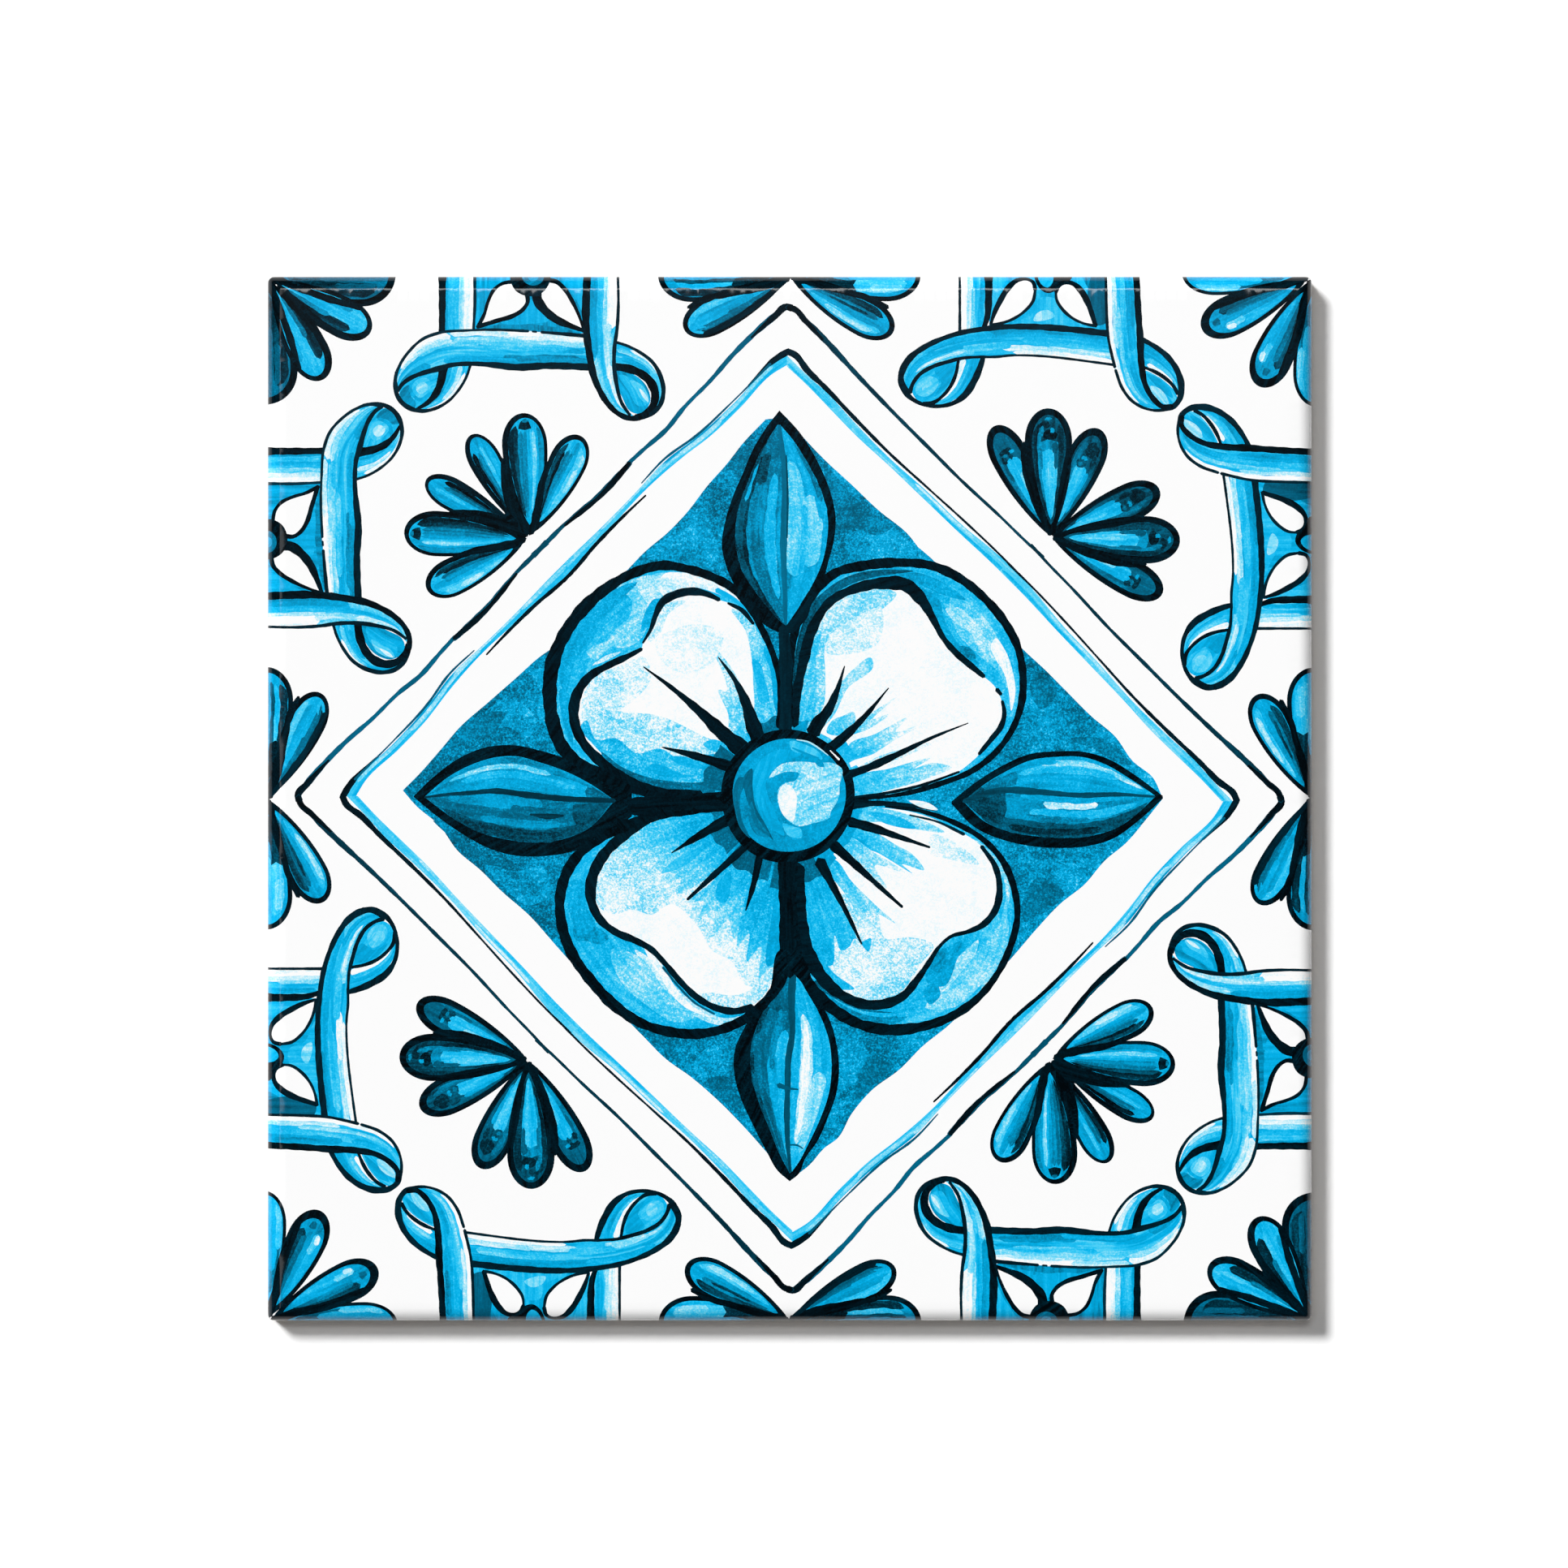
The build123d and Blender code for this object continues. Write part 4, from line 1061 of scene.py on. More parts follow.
    spokes = [
        ([(-21.3, 19.2), (-17, 16), (-13, 12.6), (-9.6, 9.4), (-6.6, 6.9)], (0.15, 0.6, 1.1, 1.8, 2.6)),
        ([(-10.4, 20.6), (-8, 17.3), (-6.4, 14), (-5.3, 10.6), (-4.6, 8.8)], (0.15, 0.6, 1.1, 1.7, 2.2)),
        ([(-18.6, 7.5), (-14, 6.3), (-10.4, 5.2), (-8, 4.4)], (0.15, 0.8, 1.3, 1.6)),
    ]
    blossom_petal(art, rim, face, washes, strokes, collars, lines, spokes)


# %% Upper right petal


def paint_upper_right(art):
    """The whitest petal, with its rim turned over at the right."""
    rim = [(-0.2, 8), (-0.2, 11), (0, 20), (1.3, 26), (3.5, 30), (6.5, 32.8), (11, 34), (16, 34.4),
           (20.5, 34), (24.5, 32.3), (28, 29.6), (31, 26.2), (33.2, 22.2), (34, 18), (33.7, 13.5),
           (32.4, 10), (30, 6.7), (26.5, 4), (22, 2.2), (18, 1), (8, -0.3)]
    inner = [(0.7, 10.8), (1, 15), (2, 20), (3.2, 24.5), (6, 28.8), (9.5, 30.6), (13.5, 31.4), (17, 31.1),
             (19.2, 29), (21, 26), (22.4, 23.4), (24.5, 21), (26.5, 19.3), (28.3, 17.8)]
    face = [(0.9, 9)] + inner + [(30, 16.2), (30.9, 14.2), (31.2, 12.4), (30.7, 10.4), (29.3, 8.4),
                                 (27.4, 6.2), (24.7, 4), (19, 1.9), (14, 0.7), (8, 0.3)]
    washes = [([(23.6, 29.6), (27.4, 27.4), (30.4, 23.4), (32.4, 18.4), (32.4, 15), (30.6, 18.2),
                (27, 21.4), (24, 25)], 0.25),
              ([(22.8, 27.8), (24.4, 27.9), (26.8, 26), (28.2, 24), (26.4, 24.3), (24.2, 25.6)], 0.16),
              ([(26.2, 25.4), (28.4, 23.6), (30.6, 20.6), (29.4, 19.8), (27.4, 22.2)], 0.18),
              ([(30, 23.4), (31.3, 21.8), (32.5, 18.6), (32.9, 15.4), (32.3, 12.8), (31.9, 15.8),
                (31.2, 18.4), (30, 20.4), (29.3, 22.2)], 0.02),
              ([(18.4, 30.8), (21.6, 29.2), (22.6, 26), (24.6, 22.6), (27.6, 19.6), (24, 21.2),
                (21.2, 25), (19.2, 28.8)], 0.46),
              ([(24.6, 22.2), (26.4, 21.9), (27.2, 20.4), (25.6, 20.4)], 0.54),
              ([(13, 33.4), (18.4, 33), (22.6, 31.4), (25.6, 29), (22, 29.8), (18, 31.6), (12, 32.2)],
               0.46),
              ([(2.4, 27), (5, 30.2), (9, 32.6), (14, 33.4), (18, 33.2), (12, 32.2), (8.4, 31), (5, 28.4),
                (3, 25.4)], 0.72),
              ([(0.2, 9.4), (0.2, 14), (0.6, 20), (2.4, 26.6), (4.4, 29.4), (3.4, 26.4), (2, 21.4),
                (1.1, 16), (0.9, 10)], 0.78),
              ([(32.6, 12), (31.6, 9.6), (29, 6.6), (25.6, 4.4), (29.4, 8), (31.6, 11.4)], 0.34)]
    strokes = [([(0.9, 10), (3.4, 10.6), (4.9, 13.4), (5.2, 18), (5.3, 22.6), (8.5, 25.8), (14, 28),
                 (15.6, 29.8), (12, 30.8), (8.5, 29.7), (5, 26.8), (2.8, 22.2), (1.6, 16)], 0.20, -0.04,
                0.03, 0.15),
               ([(5.2, 21.6), (9.4, 21.2), (12.8, 22.6), (13.6, 24.8), (13.4, 27.6), (8.6, 25.8),
                 (5.4, 23)], 0.07, 0, 0, 0.15),
               ([(1.2, 10.6), (3, 11.2), (3.9, 15.6), (3.9, 20.4), (4.6, 24.4), (3, 22), (1.9, 17)], 0.30,
                -0.06, 0.04, 0.12),
               ([(4.6, 10.2), (6.2, 11.8), (8.4, 16), (12.2, 19.8), (12, 20.4), (9.2, 18.8), (7, 16.2),
                 (5.6, 13.4)], 0.22, -0.08, 0.05, 0.12),
               ([(5.4, 9.6), (7, 9.2), (9.6, 11.6), (9.4, 12.6), (7.6, 12), (6.2, 11.4)], 0.26, -0.3,
                0.04, 0.12),
               ([(6.4, 8), (8.4, 9), (11.6, 10.2), (14.6, 12.4), (12.2, 11.6), (15.6, 14.8), (11.4, 12.2),
                 (9.6, 11.2)], 0.28, -0.5, 0.06, 0.12),
               ([(8, 5.8), (11.4, 6.2), (15.4, 8.6), (19.6, 11), (15.4, 9.8), (17.4, 11.9), (12.4, 9.4),
                 (8.6, 7.8)], 0.30, -0.5, 0.06, 0.12),
               ([(9.2, 4), (13.4, 5), (17.4, 6.4), (21, 8.2), (16.8, 7.3), (12.6, 6)], 0.16, -0.2, 0.06,
                0.12),
               ([(9.4, 0.6), (15, 1.4), (19.6, 2.8), (23.6, 4.6), (20.8, 5.2), (18.2, 4.4), (20.4, 5.8),
                 (14.6, 4.4), (9.8, 2.9)], 0.32, -0.36, 0.05, 0.12)]
    collars = [(2, 88, 10.2, 0.28), (4, 24, 11.2, 0.34), (28, 45, 11.4, 0.34), (74, 86, 11, 0.50)]
    lines = [(inner, (1, 1.2, 1.3, 1.4, 1.3, 1.2, 1.1, 1.5, 2, 1.5, 0.9, 0.8, 0.9, 0.6), 0.95),
             ([(30.2, 15.9), (30.8, 15.2)], (0.6, 0.5), 0.95),
             ([(31, 14.2), (31.3, 12.5), (30.8, 10.5), (29.5, 8.8), (27.6, 6.5)],
              (0.4, 0.7, 0.8, 0.7, 0.4), 0.95),
             ([(24.7, 3.9), (19, 1.9), (14, 0.8), (9.6, 0.2)], (0.3, 0.4, 0.4, 0.4), 0.95),
             (rim[1:],
              (1.4, 1.2, 1.1, 1.2, 1.3, 1.3, 1.2, 1.2, 1.2, 1.1, 1, 0.9, 0.8, 0.8, 0.7, 0.5, 0.4), 0.97)]
    spokes = [
        ([(8, 19.3), (6.8, 15.5), (5.5, 12.7), (4, 10.8), (3.4, 9.6)], (0.15, 0.6, 1, 1.5, 2)),
        ([(14.4, 16.1), (10.6, 11.6), (7.7, 8.8), (6, 7.4)], (0.15, 0.6, 1, 1.6)),
        ([(26, 11), (21, 9), (15, 6.1), (10.4, 4.1), (8.6, 3.5)], (0.12, 0.4, 0.7, 1, 1.1)),
    ]
    blossom_petal(art, rim, face, washes, strokes, collars, lines, spokes)


# %% Lower left petal


def paint_lower_left(art):
    """The petal in the shade, speckled and blue near the ring."""
    rim = [(-7, -0.6), (-14, -1.4), (-19.5, -2.5), (-24, -4), (-28, -6), (-30.8, -8.2), (-32.6, -11),
           (-33.5, -14.5), (-33.2, -18.5), (-31.8, -22.5), (-29, -26.5), (-25.5, -30.2), (-21.5, -32.8),
           (-17.5, -34), (-13.5, -34.3), (-9.5, -33.5), (-6, -31.8), (-3, -29), (-1, -26), (-0.7, -20),
           (-0.6, -8)]
    inner = [(-20, -2.7), (-24.5, -5.6), (-27.4, -8.6), (-28.9, -12), (-28.9, -15), (-27.5, -17.8),
             (-25.5, -19.4), (-22.5, -20.7), (-20.3, -21.9), (-18.3, -23.9), (-16, -26.6), (-13.5, -29),
             (-10.5, -30.6), (-8, -31), (-5.5, -30.4)]
    face = [(-8, -1.2), (-14, -1.8)] + inner + [(-3.4, -28.4), (-1.8, -25.4), (-1.3, -20), (-1.4, -9)]
    washes = [([(-22.5, -22), (-19, -24.4), (-16.6, -27.4), (-13.4, -30.2), (-9.6, -32), (-6.4, -31.6),
                (-9.4, -33), (-14, -31.6), (-18, -28)], 0.12),
              ([(-26, -22), (-22, -23), (-18, -28), (-13.4, -31.6), (-16, -32.6), (-21, -30), (-25, -26)],
               0.22),
              ([(-31.4, -18.4), (-29.6, -18.1), (-27.8, -18.9), (-26.4, -20.3), (-27.4, -21.2),
                (-29.4, -20.8), (-31.2, -20.6)], 0.50),
              ([(-21.2, -21.7), (-19.6, -22.9), (-18.3, -24.7), (-16.6, -27.6), (-14.2, -30.2),
                (-11.6, -31.8), (-14.8, -30.7), (-17.6, -28.1), (-19.2, -25.3), (-20.6, -23.2)], 0.03),
              ([(-32, -12), (-30, -12), (-29.6, -16), (-28.4, -18.4), (-30.4, -20), (-32, -17)], 0.44),
              ([(-20, -3.2), (-26, -6), (-29.6, -10), (-28, -6.8), (-24, -4.6)], 0.32)]
    strokes = [([(-27, -9.6), (-28.4, -13), (-27.8, -15.8), (-25.6, -16.8), (-22.8, -16.2),
                 (-20.2, -16.9), (-17.4, -15.4), (-13.6, -18.4), (-11, -22.4), (-8.6, -23.6),
                 (-6.4, -27.2), (-2.4, -27), (-2, -20), (-8, -10), (-20, -6)], 0.10, 0, 0, 0.18),
               ([(-8.4, -1.4), (-14, -2), (-19.4, -3.2), (-24.4, -6.2), (-26.8, -9.4), (-22.6, -7.4),
                 (-19.4, -7.6), (-16.2, -6.2), (-8.4, -4.6)], 0.44, -0.46, 0.05, 0.13),
               ([(-8.4, -3.4), (-14, -5.2), (-19.4, -7), (-22.6, -8.8), (-19, -8.9), (-21.4, -11),
                 (-17.4, -10.2), (-19.4, -13), (-15.8, -11.8), (-16.4, -13.8), (-12.6, -12),
                 (-7.4, -8.6)], 0.46, -0.62, 0.05, 0.13),
               ([(-12.6, -7.4), (-16, -8.4), (-18.8, -10.9), (-15, -9.6)], 0.42, -0.3, 0.03, 0.08),
               ([(-7.4, -7.8), (-11.4, -12.2), (-14.8, -15.2), (-12.6, -14.9), (-13.2, -17.4),
                 (-11.2, -16.2), (-10.8, -19.6), (-9, -17.6), (-8, -20.6), (-5.4, -18.6), (-4.2, -13),
                 (-4.4, -8.8)], 0.46, -0.54, 0.05, 0.13),
               ([(-8.6, -10.6), (-10.6, -12.6), (-10.4, -15), (-9.6, -15.2), (-8.6, -12.8)], 0.46, -0.2,
                0.03, 0.08),
               ([(-4.8, -9), (-6.6, -15), (-7.4, -21.4), (-6, -19.6), (-6.2, -23.8), (-4.4, -21.6),
                 (-4, -27.2), (-2.8, -26.6), (-1.9, -24.4), (-1.5, -18), (-1.5, -9)], 0.40, -0.22, 0.05,
                0.13),
               ([(-2.6, -24.6), (-4.2, -26), (-5.6, -27.8), (-8.4, -28.7), (-11.4, -28.3), (-13.6, -28.6),
                 (-10.4, -30.4), (-6.6, -30.6), (-3.4, -28.2)], 0.11, 0, 0, 0.18),
               ([(-1.7, -12), (-2.6, -17), (-2.8, -24.4), (-1.9, -23.6), (-1.4, -18)], 0.44, 0, 0.04,
                0.08)]
    collars = [(184, 269, 10.6, 0.50), (189, 202, 11.4, 0.60), (206, 224, 12.4, 0.66),
               (226, 248, 12.9, 0.72), (248, 257, 13.2, 0.62), (259, 269, 13.8, 0.66)]
    lines = [(inner, (0.8, 1.3, 1.5, 1.5, 1.4, 1.2, 1, 0.9, 0.8, 0.8, 0.8, 0.9, 1, 0.9), 0.95),
             ([(-18.5, -24.6), (-16.2, -27.4), (-13.8, -29.8), (-11, -31.4)], (0.3, 0.3, 0.3, 0.25),
              0.72),
             (rim,
              (1.8, 1.6, 1.4, 1.3, 1.3, 1.4, 1.4, 1.4, 1.5, 1.4, 1.3, 1.3, 1.3, 1.3, 1.4, 1.5, 1.8, 1.9),
              0.97)]
    spokes = [
        ([(-17.2, -7.9), (-13.5, -5.6), (-10.4, -3.8), (-8.6, -2.9)], (0.15, 0.8, 1.2, 1.6)),
        ([(-14.9, -14.7), (-11, -11.1), (-8.2, -8.6), (-6, -6.6)], (0.4, 0.7, 0.9, 1.1)),
        ([(-6.4, -16.3), (-5.4, -13), (-4.7, -10), (-4.4, -8.4)], (0.2, 0.6, 0.9, 1)),
    ]
    blossom_petal(art, rim, face, washes, strokes, collars, lines, spokes)


# %% Lower right petal


def paint_lower_right(art):
    """The petal with the bright blue fan beside the axis."""
    rim = [(8, -1.2), (14, -1), (19, -1.8), (24, -3.5), (28, -5.8), (31, -9), (32.7, -13), (33.2, -17),
           (32.2, -21.5), (30.3, -25.5), (27.5, -29), (23.5, -31.8), (19, -33.3), (14.5, -33.7),
           (10, -32.8), (6.5, -30.8), (3.5, -28), (1.5, -24.5), (0.4, -19), (0.2, -8)]
    inner = [(21.6, -3.2), (24.5, -4.6), (28, -7), (30, -10), (30.6, -13), (30, -16.2), (28.3, -18.3),
             (26, -19.4), (23.5, -20.1), (21.8, -21.6), (20.3, -23.9), (18.5, -26.5), (16.5, -28.8),
             (13.5, -30), (10.5, -29.9), (7.5, -28.6), (4.5, -25.8), (2.5, -22), (1.5, -17), (1.3, -10)]
    face = [(8, -1.6), (14, -1.4), (18, -2)] + inner
    washes = [([(21, -28.4), (23.2, -24.6), (26.2, -21.6), (27.4, -20.6), (26.8, -23.6), (25.4, -26.4),
                (22.8, -28.2)], 0.13),
              ([(28, -28), (30.2, -24.4), (31.6, -19), (31.6, -14.6), (30.6, -18.4), (28.8, -23)], 0.22),
              ([(19.6, -30.4), (23, -27.6), (26, -24), (29, -20.4), (31.6, -17.4), (31.6, -22), (28, -27),
                (23.4, -30.6)], 0.22),
              ([(21.2, -22.4), (23.6, -21.4), (25, -20.6), (24.2, -24), (22.4, -27.4), (20.2, -27)],
               0.44),
              ([(4.4, -27.4), (7, -29.6), (10.6, -31.4), (15, -31.8), (18.6, -30.6), (15, -33), (10, -32),
                (6.4, -30)], 0.52),
              ([(15.6, -31.8), (18.4, -29), (20.4, -27.4), (19.6, -30.6)], 0.36),
              ([(25, -5.4), (29, -8.4), (31.4, -12.4), (31.6, -16), (32.2, -13), (30.4, -9), (27, -6)],
               0.20),
              ([(21, -22.8), (22.4, -22.2), (22.8, -23.8), (21.8, -25.4), (20.6, -24.8)], 0.50),
              ([(19.6, -27.8), (21.2, -26.8), (22, -28.6), (20.4, -30)], 0.48),
              ([(3.6, -26.6), (7, -29.4), (11, -31), (15, -31.2), (11, -30.6), (7.4, -28.9),
                (4.6, -26.4)], 0.66)]
    strokes = [([(2.4, -18), (6.4, -14), (12.6, -16.2), (14, -20.4), (17.4, -20.2), (21, -21.4),
                 (19.2, -24), (15.4, -28.8), (11.6, -29.4), (7, -27.8), (3.6, -24.2)], 0.09, 0, 0, 0.18),
               ([(9.2, -1.2), (14, -1.5), (18.6, -2.8), (22.6, -4.9), (18, -4.4), (13.4, -3.4),
                 (9.2, -3.2)], 0.26, -0.22, 0.05, 0.12),
               ([(11.6, -2.2), (16.6, -2.9), (18.4, -4.2), (13.6, -3.5)], 0.36, 0, 0.04, 0.10),
               ([(8.6, -4.4), (12, -4.8), (15.6, -6.8), (18, -8.2), (19.6, -10.4), (16.4, -9.6),
                 (17.8, -10.8), (13, -8), (8.8, -6)], 0.36, -0.30, 0.05, 0.11),
               ([(8.4, -5.8), (12.2, -7.8), (16.8, -10.8), (12.4, -9.8), (14.2, -13), (9.6, -9.8),
                 (7.4, -7.2)], 0.22, -0.36, 0.05, 0.13),
               ([(20.6, -5.4), (24.4, -6.6), (27.6, -9.6), (24, -9), (20.2, -7.6)], 0.06, 0, 0, 0.14),
               ([(1.2, -9), (4.2, -9.2), (6, -12.4), (8.6, -16.4), (10.6, -20.8), (11.8, -20.3),
                 (11.5, -22.3), (9.4, -20.4), (8.7, -21.6), (7.6, -22.2), (6.6, -20), (6, -24.4),
                 (4.4, -24.2), (2.6, -20), (1.5, -14)], 0.37, -0.06, 0.05, 0.11),
               ([(4.6, -8.6), (6.4, -8.8), (9, -12), (12.6, -15.6), (15.4, -18.2), (12.4, -16.6),
                 (11.2, -16.4), (13.2, -19.8), (10.6, -17.6), (8, -13.8)], 0.34, -0.40, 0.06, 0.12),
               ([(9, -28.6), (12.4, -29.4), (15.4, -28.8), (17.4, -26.4), (15.2, -26), (12.6, -27.2),
                 (10, -27)], 0.16, 0, 0, 0.16),
               ([(2.2, -19), (4.2, -22.2), (6.2, -25.2), (9.4, -27.8), (6.6, -27.6), (4, -25),
                 (2.6, -22.4)], 0.38, 0, 0.04, 0.10)]
    collars = [(272, 356, 10.9, 0.40), (272, 293, 12.8, 0.64), (297, 308, 12, 0.46),
               (310, 324, 11.2, 0.42), (328, 342, 11.2, 0.44), (346, 356, 11.2, 0.40)]
    lines = [(inner[2:],
              (0.5, 0.8, 0.9, 0.9, 0.7, 0.4, 0.6, 1, 1.2, 1.3, 1.4, 1.6, 1.8, 1.9, 1.8, 1.7, 1.6), 0.95),
             ([(17.5, -2.4), (21.6, -3.4), (25.4, -5.2)], (0.2, 0.3, 0.5), 0.9),
             (rim[1:],
              (0.5, 0.6, 0.7, 0.8, 0.9, 0.9, 0.9, 0.9, 1, 1.2, 1.4, 1.5, 1.5, 1.6, 1.7, 1.7, 1.7, 1.8),
              0.97)]
    spokes = [
        ([(20.4, -7.1), (16, -5.6), (11.5, -4.1), (8.8, -3.4)], (0.3, 0.7, 1.1, 1.4)),
        ([(16.4, -15.8), (12.5, -12.3), (9, -9.1), (6.4, -6.8)], (0.35, 0.7, 1, 1.4)),
        ([(10.5, -21.2), (8, -16), (5.8, -11.8), (4.4, -9.2)], (0.25, 0.6, 1, 1.4)),
    ]
    blossom_petal(art, rim, face, washes, strokes, collars, lines, spokes)


paint_upper_left(whole)
paint_upper_right(whole)
paint_lower_left(whole)
paint_lower_right(whole)

# %% [markdown]
# Between the petals the painter closed the gaps with solid ink, then drew the ring and its disc,
# with a white glint where the glaze was left bare.

# %% The axes, the ring and the disc


def circle(centre, radius, count=72):
    """A circle, a little unsteady."""
    turn = np.linspace(0, 2 * math.pi, count, endpoint=False)
    size = radius * (1 + 0.006 * np.sin(turn * 3 + 1) + 0.004 * np.sin(turn * 5))
    return np.stack([centre[0] + size * np.cos(turn), centre[1] + size * np.sin(turn)], axis=1)


def paint_heart(art):
    """Ink between the petals, the ring and the disc inside it."""
    art.ink([(-0.6, 8), (-0.6, 14), (-0.6, 20), (-0.9, 25)], (1.6, 1.5, 1.8, 1.2), 0.92)
    art.ink([(-0.1, 24.6), (1.6, 26.4), (3.2, 29.4)], (1.6, 1.4, 0.6), 0.94)
    art.ink([(-8, -0.3), (-13, -0.6), (-18, -0.9), (-23.6, -1.2)], (2.4, 2.1, 2.4, 2.2))
    art.ink([(-0.2, -8), (-0.2, -14), (-0.2, -20), (0, -25)], (1.9, 1.6, 2, 2.6))
    art.dab([(-1.2, -22), (1.4, -22.6), (3, -27.4), (1, -26), (0.2, -24.8), (-1.6, -27.4), (-4.4, -30.4),
             (-3, -28)], INK)
    art.ink([(8, -0.9), (12, -0.7), (17, -0.9), (21, -1.6)], (1.6, 0.7, 0.5, 0.4), 0.93)
    art.dab([(17.4, -0.35), (20.4, -0.7), (21.6, -1.6), (19.2, -1.3)], 0.03)
    art.fill(circle((-0.3, 0.35), 9.75), INK)
    flow = Rays((-0.15, 0.5), 0, 8)
    art.fill(circle((-0.1, 0.5), 8.25), 0.49, flow=flow, streak=0.04, grain=0.09)
    paint_disc(art)


def paint_disc(art):
    """Washes of the disc, from the shaded left to the glint on the right."""
    sweep = Follow(smooth([(-6, 6), (-7.4, 0), (-5, -6), (0, -7.4), (6, -5)]))
    art.dab([(-8.2, 1.4), (-7.2, 3.2), (-6.4, 3), (-7.2, 0.4), (-7, -3), (-5.8, -5.8), (-7, -4.6),
             (-8, -1.6)], 0.66, flow=sweep)
    art.dab([(-6.6, 3.4), (-5.6, 4.4), (-5.4, 1.6), (-5, -1), (-3.4, -4), (-2.4, -6), (-4.8, -3.2),
             (-6.4, 0.4)], 0.70, flow=sweep)
    art.dab([(-5.6, -0.4), (-4.8, -2.6), (-3, -5.6), (-4.6, -5.4), (-6, -2.8)], 0.62, flow=sweep)
    art.dab([(-5.4, 1.8), (-4.8, 4.8), (-2.6, 6.8), (-0.4, 7.2), (1.6, 6.4), (0.2, 5.8), (-2, 4.6),
             (-3.4, 2.6), (-2.2, -1.8), (-0.8, -5.4), (-3.6, -3.4), (-4.8, -0.6)], 0.42, flow=sweep)
    art.dab([(-3, 3), (-1.4, 4.9), (1.4, 5.4), (4, 5.2), (6.2, 5.2), (7.6, 4.4), (7.3, 2), (7, -1.2),
             (5.8, -2.8), (3.4, -3.6), (1.2, -4), (-0.6, -2.8), (-1.7, -0.6), (-1.5, 1.6), (-0.6, 2.3),
             (0.8, 2.6), (1.4, 3.6), (-0.6, 3.9)], 0.19, flow=sweep, streak=0.06, grain=0.13)
    art.dab([(-1.5, 1.2), (-0.8, 2.1), (0.2, 1.8), (0.8, 1), (0.9, -1.6), (0.4, -3.4), (-0.6, -2.8),
             (-1.6, -0.6)], 0.02, flow=sweep, streak=0.05, grain=0.08)
    art.dab([(6.9, -0.4), (7.4, 1), (8, 2.4), (8.1, 0.4), (7.6, -2.2), (6.4, -3.6), (5.9, -2.6)], 0.46,
            flow=sweep)
    art.dab([(-1, -3.6), (0.6, -4.1), (1.6, -4.4), (1.8, -5.6), (-0.2, -5.4)], 0.28, flow=sweep)
    art.dab([(0, 8.3), (2.4, 7.8), (4.4, 6.6), (4.8, 5.8), (2.6, 6.4), (0.2, 7.2)], 0.30, flow=sweep)
    art.dab([(3.4, 5.9), (4.6, 5.6), (5, 4.6), (4.4, 4.6)], 0.52, flow=sweep)
    art.ink([(0.4, 7.4), (2.2, 6.6), (4.2, 5.9)], (0.2, 0.35, 0.2), 0.5)
    art.ink([(1, 8.6), (2.6, 8.3), (4.2, 7.4), (5.6, 6.3)], (0.1, 0.22, 0.22, 0.1), 0.12)
    art.ink([(5.9, 7), (7.2, 5.7)], (0.15, 0.25), 0)


paint_heart(whole)
print(f"lozenge, leaves and blossom: {len(whole.coats)} coats")

# %% [markdown]
# ## The whole pattern
# All motifs are now stamped where they belong. What is stamped later lies on top: first the
# lozenge with its flower, then the lines, the ribbons that cross them, and the palmettes.

# %% Stamp the motifs
pattern = Painting()
pattern.stamp(whole, (0, 0), (AS_IT_IS,))
pattern.stamp(light_line, (0, 0), ALL_TURNS)
pattern.stamp(dark_line, (0, 0), ALL_TURNS)
pattern.stamp(light_frame, (-HALF / 2, HALF), ALL_TURNS)
pattern.stamp(dark_frame, (HALF / 2, HALF), ALL_TURNS)
pattern.stamp(light_palmette, (-HALF / 2, HALF / 2), ALL_TURNS)
pattern.stamp(dark_palmette, (HALF / 2, HALF / 2), ALL_TURNS)
pattern.stamp(light_corner, (-HALF, HALF), ALL_TURNS)
pattern.stamp(dark_corner, (HALF, HALF), ALL_TURNS)
pattern.stamp(light_side, (0, HALF), ALL_TURNS)
pattern.stamp(dark_side, (0, HALF), ALL_TURNS)
print(f"whole pattern: {len(pattern.coats)} coats")

# %% [markdown]
# ## The outline of the tile
# The tile comes out of its die with a rolled, cushion edge, and its corners are only just rounded.
# One rule describes both: about each corner the outline is a superellipse, which is squarer than
# a circle. The face dips towards the edge in rings, close together where it turns steepest.

# %% Outline and rings
CUSHION = 2.0  # radius of the rolled edge, in millimetres
CORNER_POWER = 5.57
CORE = HALF - CUSHION


def four_sides(side):
    """A closed line from one of its sides, turned about the middle."""
    quarter_turn = np.array([[0, 1], [-1, 0]])
    sides = [side]
    for _ in range(3):
        sides.append(sides[-1] @ quarter_turn)
    return np.vstack(sides)


def tile_outline():
    """The outline of the tile, anticlockwise, with points about 0.8 mm apart."""
    angle = np.linspace(0, math.pi / 2, 400)
    corner = CUSHION * np.stack([np.cos(angle), np.sin(angle)], axis=1) ** (2 / CORNER_POWER)
    along = np.linspace(-CORE, CORE, 186)[1:-1]
    side = np.vstack([
        np.stack([np.full(len(along), HALF), along], axis=1),
        np.array([CORE, CORE]) + even(corner, 12),
    ])
    return four_sides(side)


def shrink(line, depth):
    """The outline moved inwards; it closes on the corner's own centre when depth is CUSHION."""
    core = np.clip(line, -CORE, CORE)
    return core + (line - core) * (1 - depth / CUSHION)


outline = tile_outline()
rings = [shrink(outline, depth) for depth in (0.03, 0.12, 0.27, 0.48, 0.75, 1.1, 1.5, 1.95)]

# %% [markdown]
# ## Cutting the face
# A real glaze is one sheet whose colour changes. Here the sheet is a mesh, cut exactly along every
# painted edge, so that an edge stays crisp at any distance. A constrained Delaunay triangulation
# takes all the outlines at once and finds where they cross. A triangle then belongs to the last
# coat that winds round its centre. Much of what it cuts lies hidden under later coats, so the face
# is cut twice: the first cut only tells which edges show, and the second follows those alone.

